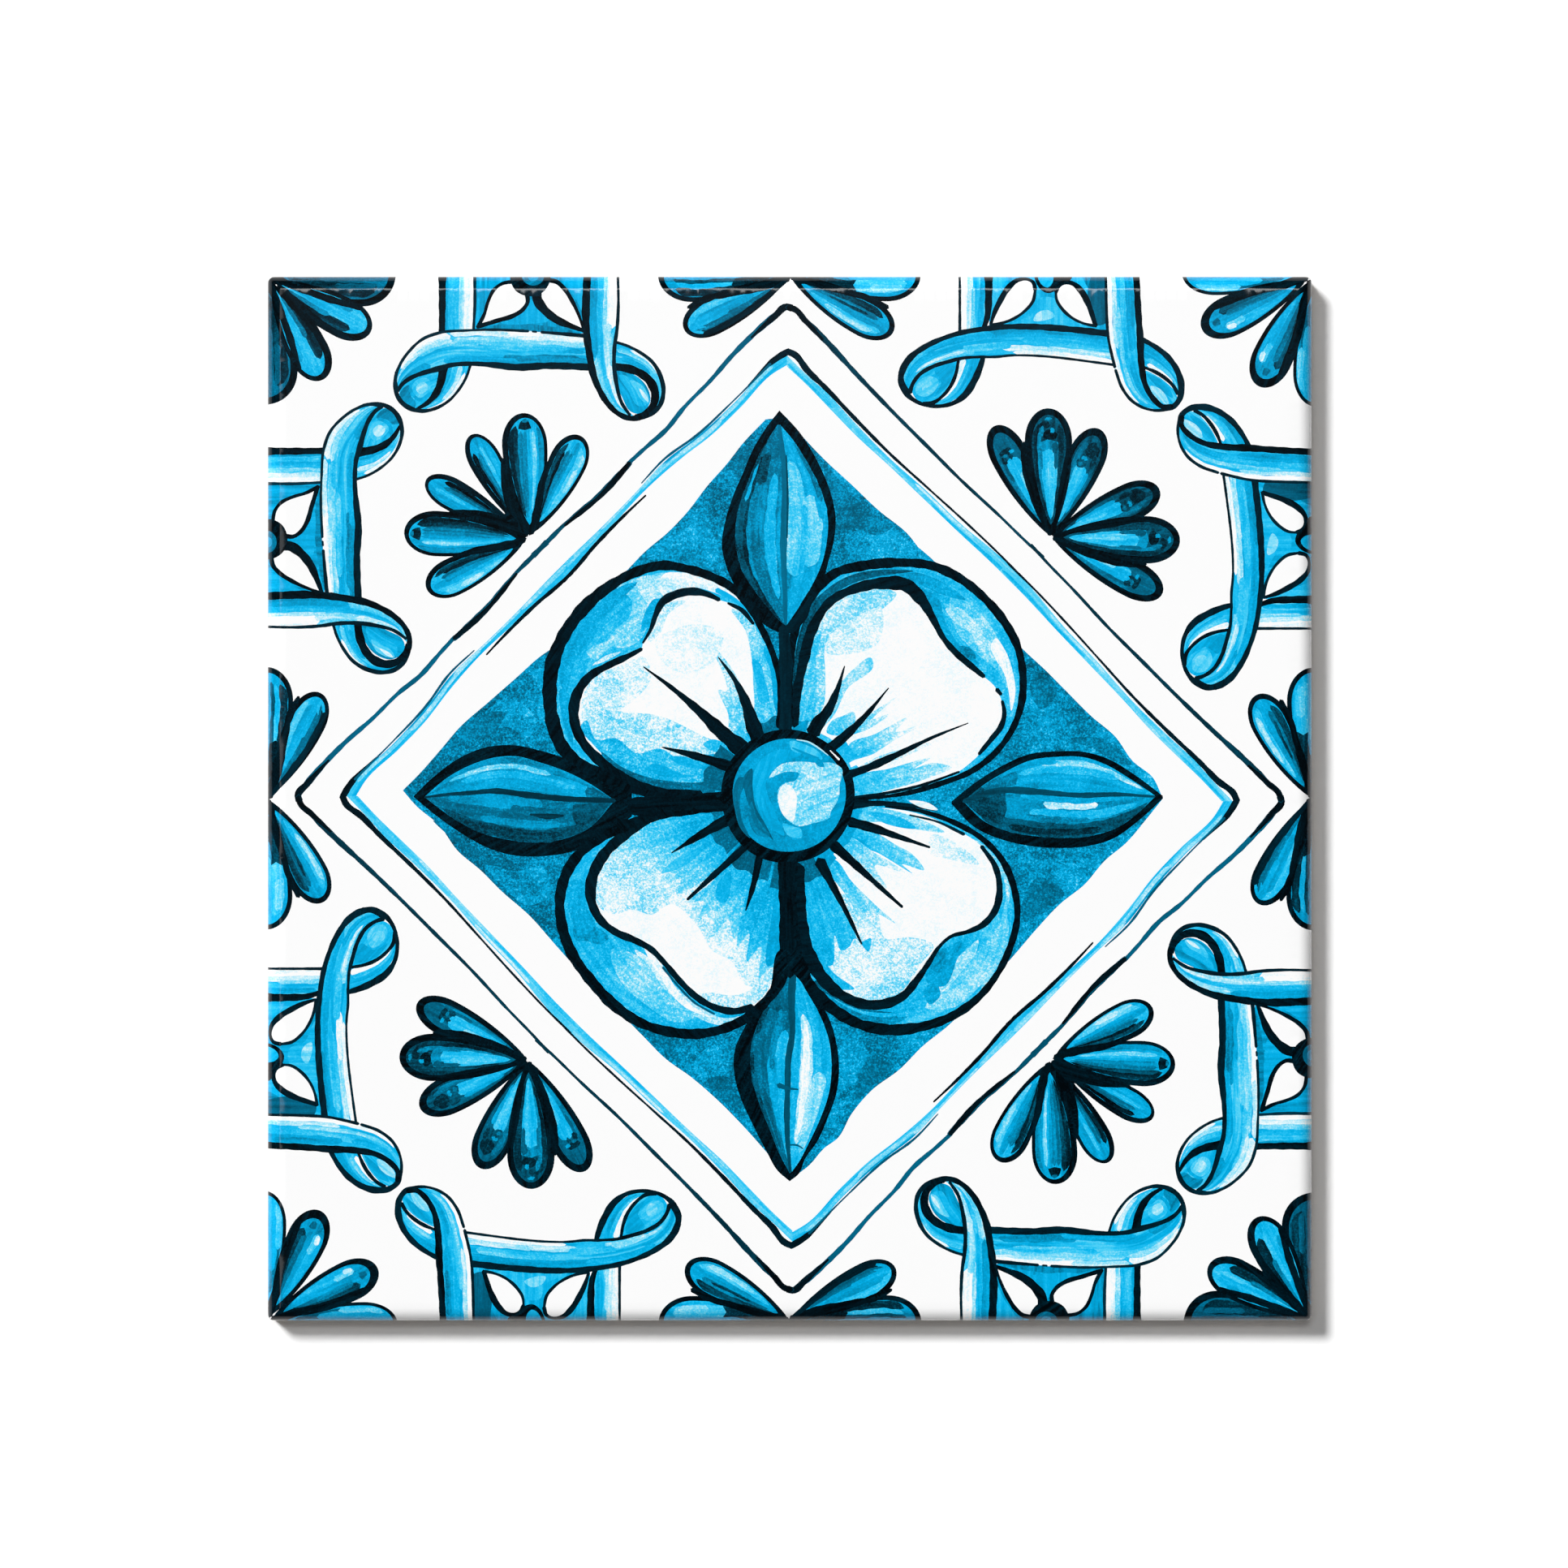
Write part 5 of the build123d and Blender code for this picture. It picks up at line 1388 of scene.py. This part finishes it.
# %% Helpers for cutting
WHOLE_HULL, INSIDE_EDGES = 0, 1  # which triangles a triangulation keeps


def sides_of(faces):
    """All first sides of the triangles, then all second and all third ones."""
    return np.vstack([faces[:, [0, 1]], faces[:, [1, 2]], faces[:, [2, 0]]])


def closed_edges(start, count):
    """Pairs of neighbours of a closed line whose first point has the number start."""
    here = np.arange(count)
    return np.stack([here, (here + 1) % count], axis=1) + start


def gather(lines, points=(), edges=()):
    """Adds closed lines to points and edges that are already there."""
    points, edges = [np.reshape(points, (-1, 2))], [np.reshape(edges, (-1, 2)).astype(int)]
    start = len(points[0])
    for line in lines:
        moves = np.abs(line - np.roll(line, 1, axis=0)).max(1)
        line = line[moves > 1e-4]
        points.append(line)
        edges.append(closed_edges(start, len(line)))
        start += len(line)
    return np.vstack(points), np.vstack(edges)


def triangulate(points, edges):
    """Triangles on the tile whose sides include all the edges."""
    found = delaunay_2d_cdt(points.tolist(), edges.tolist(), [], WHOLE_HULL, 1e-4, False)
    points, faces = np.array([tuple(p) for p in found[0]]), np.array(found[2])
    faces = faces[inside(outline, points[faces].mean(1))]
    in_use, faces = np.unique(faces, return_inverse=True)
    return points[in_use], faces.reshape(-1, 3)


def inside(edge, points):
    """Which points a closed outline winds round."""
    order = points[:, 1].argsort()
    x, y = points[order].T
    ends = np.roll(edge, -1, axis=0)
    first = np.searchsorted(y, np.minimum(edge[:, 1], ends[:, 1]))
    last = np.searchsorted(y, np.maximum(edge[:, 1], ends[:, 1]))
    turns = np.zeros(len(points), int)
    for (ax, ay), (bx, by), i, j in zip(edge, ends, first, last):
        if i < j:
            crossing = ax + (y[i:j] - ay) * (bx - ax) / (by - ay)
            turns[i:j] += np.where(x[i:j] < crossing, 1 if by > ay else -1, 0)
    chosen = np.zeros(len(points), bool)
    chosen[order] = turns != 0
    return chosen


def top_coats(middles):
    """The number of the last coat over each point, or -1 where none is."""
    top = np.full(len(middles), -1)
    for k, edge in enumerate(coat_edges):
        near = np.flatnonzero(((middles >= edge.min(0)) & (middles <= edge.max(0))).all(1))
        top[near[inside(edge, middles[near])]] = k
    return top


# %% First cut: find the edges that show
BEYOND = HALF + 1.0
coat_edges = [np.clip(on_tile(coat, coat.edge), -BEYOND, BEYOND) for coat in pattern.coats]
points, faces = triangulate(*gather([outline] + coat_edges))
print(f"first cut: {len(faces)} triangles")

looks = [(coat.tone, coat.number) if 0 < coat.tone < 0.9 else (coat.tone, 0) for coat in pattern.coats]
numbers = {look: number for number, look in enumerate(dict.fromkeys([(0.0, 0)] + looks))}
look = np.array([numbers[look] for look in looks] + [0])[top_coats(points[faces].mean(1))]
sides = np.sort(sides_of(faces), axis=1)
order = np.lexsort((np.tile(look, 3), sides[:, 1], sides[:, 0]))
sides, look = sides[order], np.tile(look, 3)[order]
twins = np.append((sides[1:] == sides[:-1]).all(1) & (look[1:] == look[:-1]), False)
hidden = twins | np.append(False, twins[:-1])
shown = np.unique(sides[~hidden], axis=0)
shown_points, shown = np.unique(shown, return_inverse=True)

# %% Second cut: along those edges and the rings alone
marks = np.arange(-CORE + 1, CORE, 1.6)
loose = np.stack(np.meshgrid(marks, marks), axis=-1).reshape(-1, 2)
cut_points, cut_edges = gather(rings, points[shown_points], shown)
points, faces = triangulate(np.vstack([cut_points, loose]), cut_edges)
print(f"face: {len(faces)} triangles")

# %% [markdown]
# Each corner of each triangle then gets what the glaze material reads: the tone of the paint, the
# distances along and across the brush stroke, and how streaky and how grainy the wash is.

# %% Give every triangle its coat
top_coat = top_coats(points[faces].mean(1))
tone = np.zeros((len(faces), 3))
brush = np.zeros((len(faces), 3, 3))
wash = np.zeros((len(faces), 3, 3))
for k in np.unique(top_coat[top_coat >= 0]):
    coat = pattern.coats[k]
    rows = np.flatnonzero(top_coat == k)
    used, back = np.unique(faces[rows], return_inverse=True)
    along, across = coat.flow.read(off_tile(coat, points[used]))
    share = np.clip(along / coat.flow.length, 0, 1)
    reading = np.stack([coat.tone + coat.fade * share, along, across], axis=1)[back.reshape(-1, 3)]
    tone[rows] = np.clip(reading[..., 0], 0, 1)
    brush[rows, :, :2] = reading[..., 1:]
    brush[rows, :, 2] = k
    wash[rows] = (coat.streak, coat.grain, 0)
print(f"painted: {100 * (top_coat >= 0).mean():.0f} % of the triangles")

# %% [markdown]
# ## The body of the tile
# The die is filled with damp clay dust and closed, and the tile comes out with upright sides, a
# small chamfer at the foot and a waffle of pockets in the back, which the bedding mortar grips.
# The sides hang from the border of the face. The back is the rim land round the waffle, and one
# pocket is made here point by point, for the press below to repeat.

# %% Sides and back
FOOT = 0.4  # chamfer, in millimetres
POCKETS = 6
RIM_LAND = 6.0
RIB = 3.2
PITCH = (SIDE - 2 * RIM_LAND + RIB) / POCKETS
WAFFLE = PITCH * POCKETS / 2


def border(faces):
    """The edges that only one triangle has, in the order of its corners."""
    ahead = sides_of(faces)
    size = faces.max() + 1
    alone = ~np.isin(ahead[:, 0] * size + ahead[:, 1], ahead[:, 1] * size + ahead[:, 0])
    return ahead[alone]


def lift(flat, height):
    """Flat points at one height."""
    return np.column_stack([flat, np.full(len(flat), float(height))])


hem = border(faces)
hem_points, low_hem = np.unique(hem, return_inverse=True)
low_hem = low_hem.reshape(-1, 2)
rim = points[hem_points]
foot = shrink(rim, FOOT)

pocket_middle = (np.arange(POCKETS) - (POCKETS - 1) / 2) * PITCH

# %% One pocket of the waffle
POCKET_DEPTH = 0.9
POCKET_CORNER = 2.4
DRAFT = POCKET_DEPTH * math.tan(math.radians(35))
MOUTH = (PITCH - RIB) / 2
STRAIGHT = MOUTH - POCKET_CORNER  # half of the straight part of a pocket's side
STRAIGHT_MARKS = np.linspace(-STRAIGHT, STRAIGHT, 5)[1:-1]
CORNER_MARKS = np.arange(5) * math.pi / 16  # angles from the straight part to the diagonal


def side_marks():
    """Where one side of a cell has its points: the same from both ends, so that neighbours meet."""
    near_corner = STRAIGHT + (PITCH / 2 - STRAIGHT) * np.tan(CORNER_MARKS)
    return np.concatenate([-near_corner[::-1], STRAIGHT_MARKS, near_corner])


def pocket_ring(inset):
    """A rounded square inside the cell, with the same number of points as the cell's border."""
    reach = POCKET_CORNER - inset
    up = STRAIGHT + reach * np.stack([np.cos(CORNER_MARKS), np.sin(CORNER_MARKS)], axis=1)
    flat = np.stack([np.full(len(STRAIGHT_MARKS), STRAIGHT + reach), STRAIGHT_MARKS], axis=1)
    down = up[::-1] * (1, -1)
    return np.vstack([down, flat, up])


cell_side = np.stack([np.full(len(side_marks()), PITCH / 2), side_marks()], axis=1)
# What a side starts with is the end of the side before, so it is left out below.
soft = ((-0.14, 0.0), (-0.03, 0.03), (0.06, 0.13), (DRAFT - 0.08, POCKET_DEPTH - 0.12),
        (DRAFT + 0.02, POCKET_DEPTH - 0.02), (DRAFT + 0.16, POCKET_DEPTH))
levels = [lift(four_sides(cell_side[1:]), 0)]
levels += [lift(four_sides(pocket_ring(inset)[1:]), height) for inset, height in soft]
count = len(levels[0])
pocket_faces = [tuple(range(count * (len(levels) - 1), count * len(levels)))]
for level in range(len(levels) - 1):
    for a, b in closed_edges(level * count, count):
        pocket_faces.append((int(b), int(a), int(a) + count, int(b) + count))
pocket_mesh = bpy.data.meshes.new("pocket")
pocket_mesh.from_pydata((np.vstack(levels) * MM).tolist(), [], pocket_faces)
pocket = bpy.data.objects.new("pocket", pocket_mesh)
bpy.context.collection.objects.link(pocket)
print(f"pocket: {len(pocket_faces)} faces, {PITCH:.2f} mm from one to the next")

# %% The land round the waffle
waffle_side = np.concatenate([middle + side_marks()[1:] for middle in pocket_middle])
waffle = four_sides(np.stack([np.full(len(waffle_side), WAFFLE), waffle_side], axis=1))
land_points = np.vstack([foot, waffle])
land_edges = np.vstack([low_hem, closed_edges(len(foot), len(waffle))])
found = delaunay_2d_cdt(land_points.tolist(), land_edges.tolist(), [], INSIDE_EDGES, 1e-5, False)
land_points, land_faces = np.array([tuple(p) for p in found[0]]), np.array(found[2])
land_faces = land_faces[~inside(waffle, land_points[land_faces].mean(1))]

# %% Body before pressing
parts = [lift(points, THICKNESS), lift(rim, FOOT), lift(foot, 0), lift(land_points, 0)]
starts = np.cumsum([0] + [len(part) for part in parts])
levels = (hem, low_hem + starts[1], low_hem + starts[2])
body_faces = faces.tolist()
for upper, lower in zip(levels, levels[1:]):
    body_faces += np.hstack([upper[:, ::-1], lower]).tolist()
body_faces += (land_faces[:, ::-1] + starts[3]).tolist()
body_mesh = bpy.data.meshes.new("painted_tile")
body_mesh.from_pydata((np.vstack(parts) * MM).tolist(), [], body_faces)


def store(name, kind, domain, field, values, size):
    """Keeps values in a named attribute of the mesh; what has none gets 0."""
    full = np.zeros(size, np.float32)
    full[: values.size] = values.ravel()
    body_mesh.attributes.new(name, kind, domain).data.foreach_set(field, full)


corners = len(body_mesh.loops)
store("tone", "FLOAT", "CORNER", "value", tone, corners)
store("brush", "FLOAT_VECTOR", "CORNER", "vector", brush, corners * 3)
store("wash", "FLOAT_VECTOR", "CORNER", "vector", wash, corners * 3)
store("sheet", "FLOAT", "POINT", "value", np.ones(len(points)), starts[-1])
body = bpy.data.objects.new("painted_tile", body_mesh)
bpy.context.collection.objects.link(body)
print(f"body before pressing: {len(body_faces)} faces")

# %% [markdown]
# ## Formulas for nodes
# The press and the glaze are both trees of nodes. A `Wire` is the output of a node, and it knows
# the arithmetic signs, so a formula in a tree is written like any other formula. A `Bench` adds
# nodes to one tree.

# %% Wires and the bench


class Wire:
    """The output of a node, for use in a formula."""

    def __init__(self, bench, socket):
        self.bench = bench
        self.socket = socket

    def __add__(self, other):
        return self.bench.math("ADD", self, other)

    def __radd__(self, other):
        return self.bench.math("ADD", other, self)

    def __sub__(self, other):
        return self.bench.math("SUBTRACT", self, other)

    def __rsub__(self, other):
        return self.bench.math("SUBTRACT", other, self)

    def __mul__(self, other):
        return self.bench.math("MULTIPLY", self, other)

    def __truediv__(self, other):
        return self.bench.math("DIVIDE", self, other)

    def __rtruediv__(self, other):
        return self.bench.math("DIVIDE", other, self)

    def __pow__(self, other):
        return self.bench.math("POWER", self, other)

    def __abs__(self):
        return self.bench.math("ABSOLUTE", self)


class Bench:
    """Adds nodes to one tree; a value is a number, a colour, a vector or a wire."""

    def __init__(self, tree):
        self.tree = tree

    def plug(self, socket, value):
        if isinstance(value, Wire):
            self.tree.links.new(value.socket, socket)
        else:
            socket.default_value = value

    def add(self, kind, settings=None, values=None, output=0):
        """One node; its settings are made first, as they change which sockets it has."""
        node = self.tree.nodes.new(kind)
        for name, value in (settings or {}).items():
            setattr(node, name, value)
        for name, value in (values or {}).items():
            self.plug(node.inputs[name], value)
        return Wire(self, node.outputs[output]) if len(node.outputs) else node

    def math(self, operation, *values):
        return self.add("ShaderNodeMath", {"operation": operation}, dict(enumerate(values)))

    def split(self, vector):
        """The three numbers of a vector."""
        node = self.add("ShaderNodeSeparateXYZ", values={0: vector}).socket.node
        return [Wire(self, socket) for socket in node.outputs]

    def join(self, x, y, z):
        return self.add("ShaderNodeCombineXYZ", values={0: x, 1: y, 2: z})


# %% [markdown]
# ## The press
# Geometry Nodes do the pressing, because both of its jobs follow a rule. The first is the cushion:
# the height of a point on the face depends only on how far it lies from the straight part, by the
# superellipse again, and the edge turns down through a quarter circle. The second is the waffle: a
# square grid of points with the pocket on each. The seams are then welded.

# %% Build the press
WELD = 1.5e-6  # metres
press = bpy.data.node_groups.new("tile press", "GeometryNodeTree")
press_sockets = {}
for name, kind, way in (
    ("Geometry", "NodeSocketGeometry", "INPUT"),
    ("Thickness", "NodeSocketFloat", "INPUT"),
    ("Side", "NodeSocketFloat", "INPUT"),
    ("Cushion Radius", "NodeSocketFloat", "INPUT"),
    ("Corner Power", "NodeSocketFloat", "INPUT"),
    ("Pocket", "NodeSocketObject", "INPUT"),
    ("Pockets per Side", "NodeSocketInt", "INPUT"),
    ("Pitch", "NodeSocketFloat", "INPUT"),
    ("Material", "NodeSocketMaterial", "INPUT"),
    ("Tile", "NodeSocketGeometry", "OUTPUT"),
):
    press_sockets[name] = press.interface.new_socket(name, in_out=way, socket_type=kind).identifier

bench = Bench(press)
given_node = press.nodes.new("NodeGroupInput")
given = {socket.name: Wire(bench, socket) for socket in given_node.outputs if socket.name}

x, y, _ = bench.split(bench.add("GeometryNodeInputPosition"))
core = given["Side"] / 2 - given["Cushion Radius"]
beyond_x = bench.math("MAXIMUM", abs(x) - core, 0) / given["Cushion Radius"]
beyond_y = bench.math("MAXIMUM", abs(y) - core, 0) / given["Cushion Radius"]
power = given["Corner Power"]
reach = (beyond_x**power + beyond_y**power) ** (1 / power)
rise = bench.math("MAXIMUM", 1 - reach * reach, 0) ** 0.5
height = given["Thickness"] - given["Cushion Radius"] * (1 - rise)
on_sheet = bench.add("GeometryNodeInputNamedAttribute", {"data_type": "FLOAT"}, {"Name": "sheet"})
pressed = bench.add("GeometryNodeSetPosition", values={
    "Geometry": given["Geometry"],
    "Selection": bench.math("GREATER_THAN", on_sheet, 0.5),
    "Position": bench.join(x, y, height),
})

span = given["Pitch"] * (given["Pockets per Side"] - 1)
grid = bench.add("GeometryNodeMeshGrid", values={
    "Size X": span,
    "Size Y": span,
    "Vertices X": given["Pockets per Side"],
    "Vertices Y": given["Pockets per Side"],
})
punch = bench.add("GeometryNodeObjectInfo", values={"Object": given["Pocket"]}, output="Geometry")
pockets = bench.add("GeometryNodeInstanceOnPoints", values={"Points": grid, "Instance": punch})
pockets = bench.add("GeometryNodeRealizeInstances", values={"Geometry": pockets})

joined_node = press.nodes.new("GeometryNodeJoinGeometry")
for piece in (pockets, pressed):
    press.links.new(piece.socket, joined_node.inputs[0])
welded = bench.add("GeometryNodeMergeByDistance", values={
    "Geometry": Wire(bench, joined_node.outputs[0]),
    "Distance": WELD,
})
smoothed = bench.add("GeometryNodeSetShadeSmooth", values={"Geometry": welded})
realized = bench.add("GeometryNodeRealizeInstances", values={"Geometry": smoothed})
finished = bench.add("GeometryNodeSetMaterial",
                     values={"Geometry": realized, "Material": given["Material"]})
bench.plug(press.nodes.new("NodeGroupOutput").inputs["Tile"], finished)
print(f"press: {len(press.nodes)} nodes")

# %% [markdown]
# ## The glaze
# The painting is fired into a white tin glaze, so paint and glaze share one smooth, glossy surface
# and only the colour changes. Cobalt and copper blues go from a pale wash through turquoise and a
# deep petrol blue to nearly black as the coat gets thicker. Streaks follow the brush, and grain
# comes from the powdery raw glaze under it. Below the glaze line the bare biscuit shows.

# %% Colours of the paint, from bare glaze to the thickest coat


def colour(red, green, blue):
    """A colour as a screen shows it (0 to 255), as the linear values that light adds up in."""
    shares = [value / 255 for value in (red, green, blue)]
    return tuple(s / 12.92 if s <= 0.04045 else ((s + 0.055) / 1.055) ** 2.4 for s in shares) + (1.0,)


PAINT = ((247, 247, 247), (206, 238, 247), (144, 222, 244), (80, 206, 243), (34, 190, 239), (4, 175, 230),
         (2, 159, 210), (2, 143, 189), (2, 112, 148), (2, 95, 126), (2, 79, 104), (2, 48, 64),
         (1, 31, 43), (1, 6, 10))
BISCUIT = colour(205, 190, 168)

# %% Glaze material
glaze = bpy.data.materials.new("glazed earthenware")
glaze.use_nodes = True
glaze.node_tree.nodes.clear()
bench = Bench(glaze.node_tree)


def noise(vector, detail=2.0, roughness=0.5):
    """A soft noise of scale 1, about 0.5 on average."""
    return bench.add("ShaderNodeTexNoise", values={
        "Vector": vector, "Scale": 1.0, "Detail": detail, "Roughness": roughness})


def step(value, start, end):
    """0 below start and 1 above end, with a soft slope between."""
    return bench.add("ShaderNodeMapRange", {"interpolation_type": "SMOOTHSTEP"}, {
        "Value": value, "From Min": start, "From Max": end})


def read(name, output):
    return bench.add("ShaderNodeAttribute", {"attribute_name": name}, output=output)


place = bench.add("ShaderNodeTexCoord", output="Object")
x, y, z = (value / MM for value in bench.split(place))
along, across, number = bench.split(read("brush", "Vector"))
streak, grain, _ = bench.split(read("wash", "Vector"))

broad = noise(bench.join(along * 0.10, across * 1.5, number * 7.3))
fine = noise(bench.join(along * 0.35, across * 5.0, number * 3.1))
streaks = (step(broad, 0.40, 0.46) + step(broad, 0.54, 0.60) - 1) * 0.7 + (fine - 0.5) * 0.9
mottle = noise(bench.join(x * 1.3, y * 1.3, z * 1.3), 3.0, 0.65)
specks = noise(bench.join(x * 3.6, y * 3.6, z * 3.6), 2.0, 0.7)
clouds = noise(bench.join(x * 0.20, y * 0.20, z * 0.20 + 5), 3.0)
grains = (mottle - 0.5) * 2.0 + (specks - 0.5) * 5.5 + (clouds - 0.5) * 2.4 - step(specks, 0.60, 0.68) * 0.9
tone_here = read("tone", "Fac") + streak * streaks + grain * grains

ramp_node = glaze.node_tree.nodes.new("ShaderNodeValToRGB")
stops = ramp_node.color_ramp.elements
while len(stops) < len(PAINT):
    stops.new(0.5)
for k, shade_here in enumerate(PAINT):
    stops[k].position = k / (len(PAINT) - 1)
    stops[k].color = colour(*shade_here)
bench.plug(ramp_node.inputs["Fac"], tone_here)
painted = Wire(bench, ramp_node.outputs["Color"])

# %% Biscuit, gloss and ripple
GLAZE_ENDS, GLAZE_FULL = 2.5, 2.8  # heights on the sides, in millimetres
GLAZE_WAVE = 1.8
line_wave = noise(bench.join(x * 0.12, y * 0.12, 3.0), 3.0) - 0.5
glazed = step(z, GLAZE_ENDS + line_wave * GLAZE_WAVE, GLAZE_FULL + line_wave * GLAZE_WAVE)
clay = noise(bench.join(x * 2.4, y * 2.4, z * 2.4), 4.0, 0.7)
clay_colour = bench.add("ShaderNodeMix", {"data_type": "RGBA"}, {
    0: step(clay, 0.35, 0.7), 6: colour(188, 170, 146), 7: BISCUIT}, output=2)
surface_colour = bench.add("ShaderNodeMix", {"data_type": "RGBA"},
                           {0: glazed, 6: clay_colour, 7: painted}, output=2)
roughness = 0.82 - glazed * 0.71

ripple = noise(bench.join(x * 0.20, y * 0.20, z * 0.20), 1.0)
relief = glazed * ripple * 0.010 + (1 - glazed) * clay * 0.05
normal = bench.add("ShaderNodeBump", values={"Strength": 1.0, "Distance": MM, "Height": relief},
                   output="Normal")
skin = bench.add("ShaderNodeBsdfPrincipled", values={
    "Base Color": surface_colour, "Roughness": roughness, "Normal": normal, "IOR": 1.5,
    "Specular IOR Level": 0.3})
bench.add("ShaderNodeOutputMaterial", values={"Surface": skin})
print(f"glaze: {len(glaze.node_tree.nodes)} nodes")

# %% [markdown]
# ## Pressing the tile
# The modifier gets its values by the identifiers of its sockets, before anything looks at its
# result. The result is then kept as a plain mesh and the modifier is taken off.

# %% Press it
SHARP = math.radians(32)  # a fold steeper than this is shaded as an edge
modifier = body.modifiers.new("press", "NODES")
modifier.node_group = press
for name, value in (
    ("Thickness", THICKNESS * MM),
    ("Side", SIDE * MM),
    ("Cushion Radius", CUSHION * MM),
    ("Corner Power", CORNER_POWER),
    ("Pocket", pocket),
    ("Pockets per Side", POCKETS),
    ("Pitch", PITCH * MM),
    ("Material", glaze),
):
    modifier[press_sockets[name]] = value

view_layer_state = bpy.context.evaluated_depsgraph_get()
tile_mesh = bpy.data.meshes.new_from_object(body.evaluated_get(view_layer_state),
                                            depsgraph=view_layer_state)
body.modifiers.clear()
body.data = tile_mesh
bpy.data.objects.remove(pocket)

work = bmesh.new()
work.from_mesh(tile_mesh)
bmesh.ops.recalc_face_normals(work, faces=work.faces)
open_edges = sum(1 for edge in work.edges if len(edge.link_faces) != 2)
work.to_mesh(tile_mesh)
work.free()
tile_mesh.set_sharp_from_angle(angle=SHARP)
tile_mesh.name = "painted_tile"
tile = body
print(f"tile: {len(tile_mesh.polygons)} faces, {open_edges} edges without two faces")

# %% [markdown]
# ## Floor, lamps and camera
# The tile lies face up on a white sweep and is seen from straight above, as a shop photographs
# it. One broad lamp stands to the upper left and gives the soft shadow at the right and the
# bottom. A strip of light above the top edge draws the bright line along the cushion there. The
# rest of the room is dim, and darkest overhead, as a glossy face mirrors what is above it.

# %% White floor
floor_mesh = bpy.data.meshes.new("floor")
floor_mesh.from_pydata([(-5, -5, 0), (5, -5, 0), (5, 5, 0), (-5, 5, 0)], [], [(0, 1, 2, 3)])
floor = bpy.data.objects.new("floor", floor_mesh)
bpy.context.collection.objects.link(floor)
paper = bpy.data.materials.new("white sweep")
paper.use_nodes = True
paper.node_tree.nodes.clear()
bench = Bench(paper.node_tree)


def ray_kinds():
    """Whether a ray comes from the camera, from a gloss or through glass."""
    node = bench.add("ShaderNodeLightPath").socket.node
    return [Wire(bench, node.outputs[f"Is {kind} Ray"]) for kind in ("Camera", "Glossy", "Transmission")]


by_camera, by_gloss, by_glass = ray_kinds()
matt = bench.add("ShaderNodeBsdfDiffuse", values={"Color": (0.93, 0.93, 0.93, 1)})
glow = bench.add("ShaderNodeEmission", values={"Color": (1, 1, 1, 1), "Strength": 0.07})
lit = bench.add("ShaderNodeAddShader", values={0: matt, 1: glow})
seen = bench.math("MAXIMUM", by_camera, by_gloss + by_glass)
sweep = bench.add("ShaderNodeMixShader", values={0: seen, 1: matt, 2: lit})
bench.add("ShaderNodeOutputMaterial", values={"Surface": sweep})
floor_mesh.materials.append(paper)

# %% Lamps


def lamp(name, kind, place, rotation, **settings):
    """A lamp with its settings, at a place in metres."""
    data = bpy.data.lights.new(name, kind)
    for setting, value in settings.items():
        setattr(data, setting, value)
    item = bpy.data.objects.new(name, data)
    item.location = place
    item.rotation_euler = rotation
    bpy.context.collection.objects.link(item)
    return item


TILT = math.radians(40)  # from straight above
TURN = math.radians(45)  # towards the upper left
lamp("key", "SUN", (-0.8, 0.8, 2.0), (TILT, 0, TURN + math.pi), energy=3.6, angle=math.radians(14))
lamp("top strip", "AREA", (0, 0.49, 2.1), (0, 0, 0), energy=6.5, shape="RECTANGLE", size=0.6, size_y=0.30)
lamp("side strip", "AREA", (-0.49, 0, 2.1), (0, 0, 0), energy=1.4, shape="RECTANGLE", size=0.30, size_y=0.6)

# %% Dim room behind a white backdrop
room = bpy.data.worlds.new("room")
bpy.context.scene.world = room
room.use_nodes = True
room.node_tree.nodes.clear()
bench = Bench(room.node_tree)


def fade_out(value, start, end, strength):
    """A strength that falls to 0 as the value goes from start to end."""
    return bench.add("ShaderNodeMapRange", {"interpolation_type": "SMOOTHSTEP"}, {
        "Value": value, "From Min": start, "From Max": end, "To Min": strength, "To Max": 0.0})


_, _, up = bench.split(bench.add("ShaderNodeTexCoord", output="Generated"))
by_camera, by_gloss, by_glass = ray_kinds()
backdrop = (by_gloss + by_glass) * fade_out(up, 0.02, 0.10, 1.0)
strength = bench.math("MAXIMUM", by_camera, fade_out(up, 0.93, 0.98, 0.035) + backdrop)
sky = bench.add("ShaderNodeBackground", values={"Color": (1, 1, 1, 1), "Strength": strength})
bench.add("ShaderNodeOutputWorld", values={"Surface": sky})

# %% Camera
AIM = (-0.00083, 0.00213)  # metres; the tile lies a little off the middle of the picture
DISTANCE = 1.27  # from the face of the tile
view = bpy.data.cameras.new("camera")
view.lens = 200
view.sensor_width = 36
view.clip_end = 50
camera = bpy.data.objects.new("camera", view)
camera.location = (*AIM, THICKNESS * MM + DISTANCE)
bpy.context.collection.objects.link(camera)
bpy.context.scene.camera = camera
bpy.context.scene.view_settings.view_transform = "Standard"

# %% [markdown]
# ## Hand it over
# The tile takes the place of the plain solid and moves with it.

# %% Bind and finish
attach(tile, "root")
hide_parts("ceramic_tile")
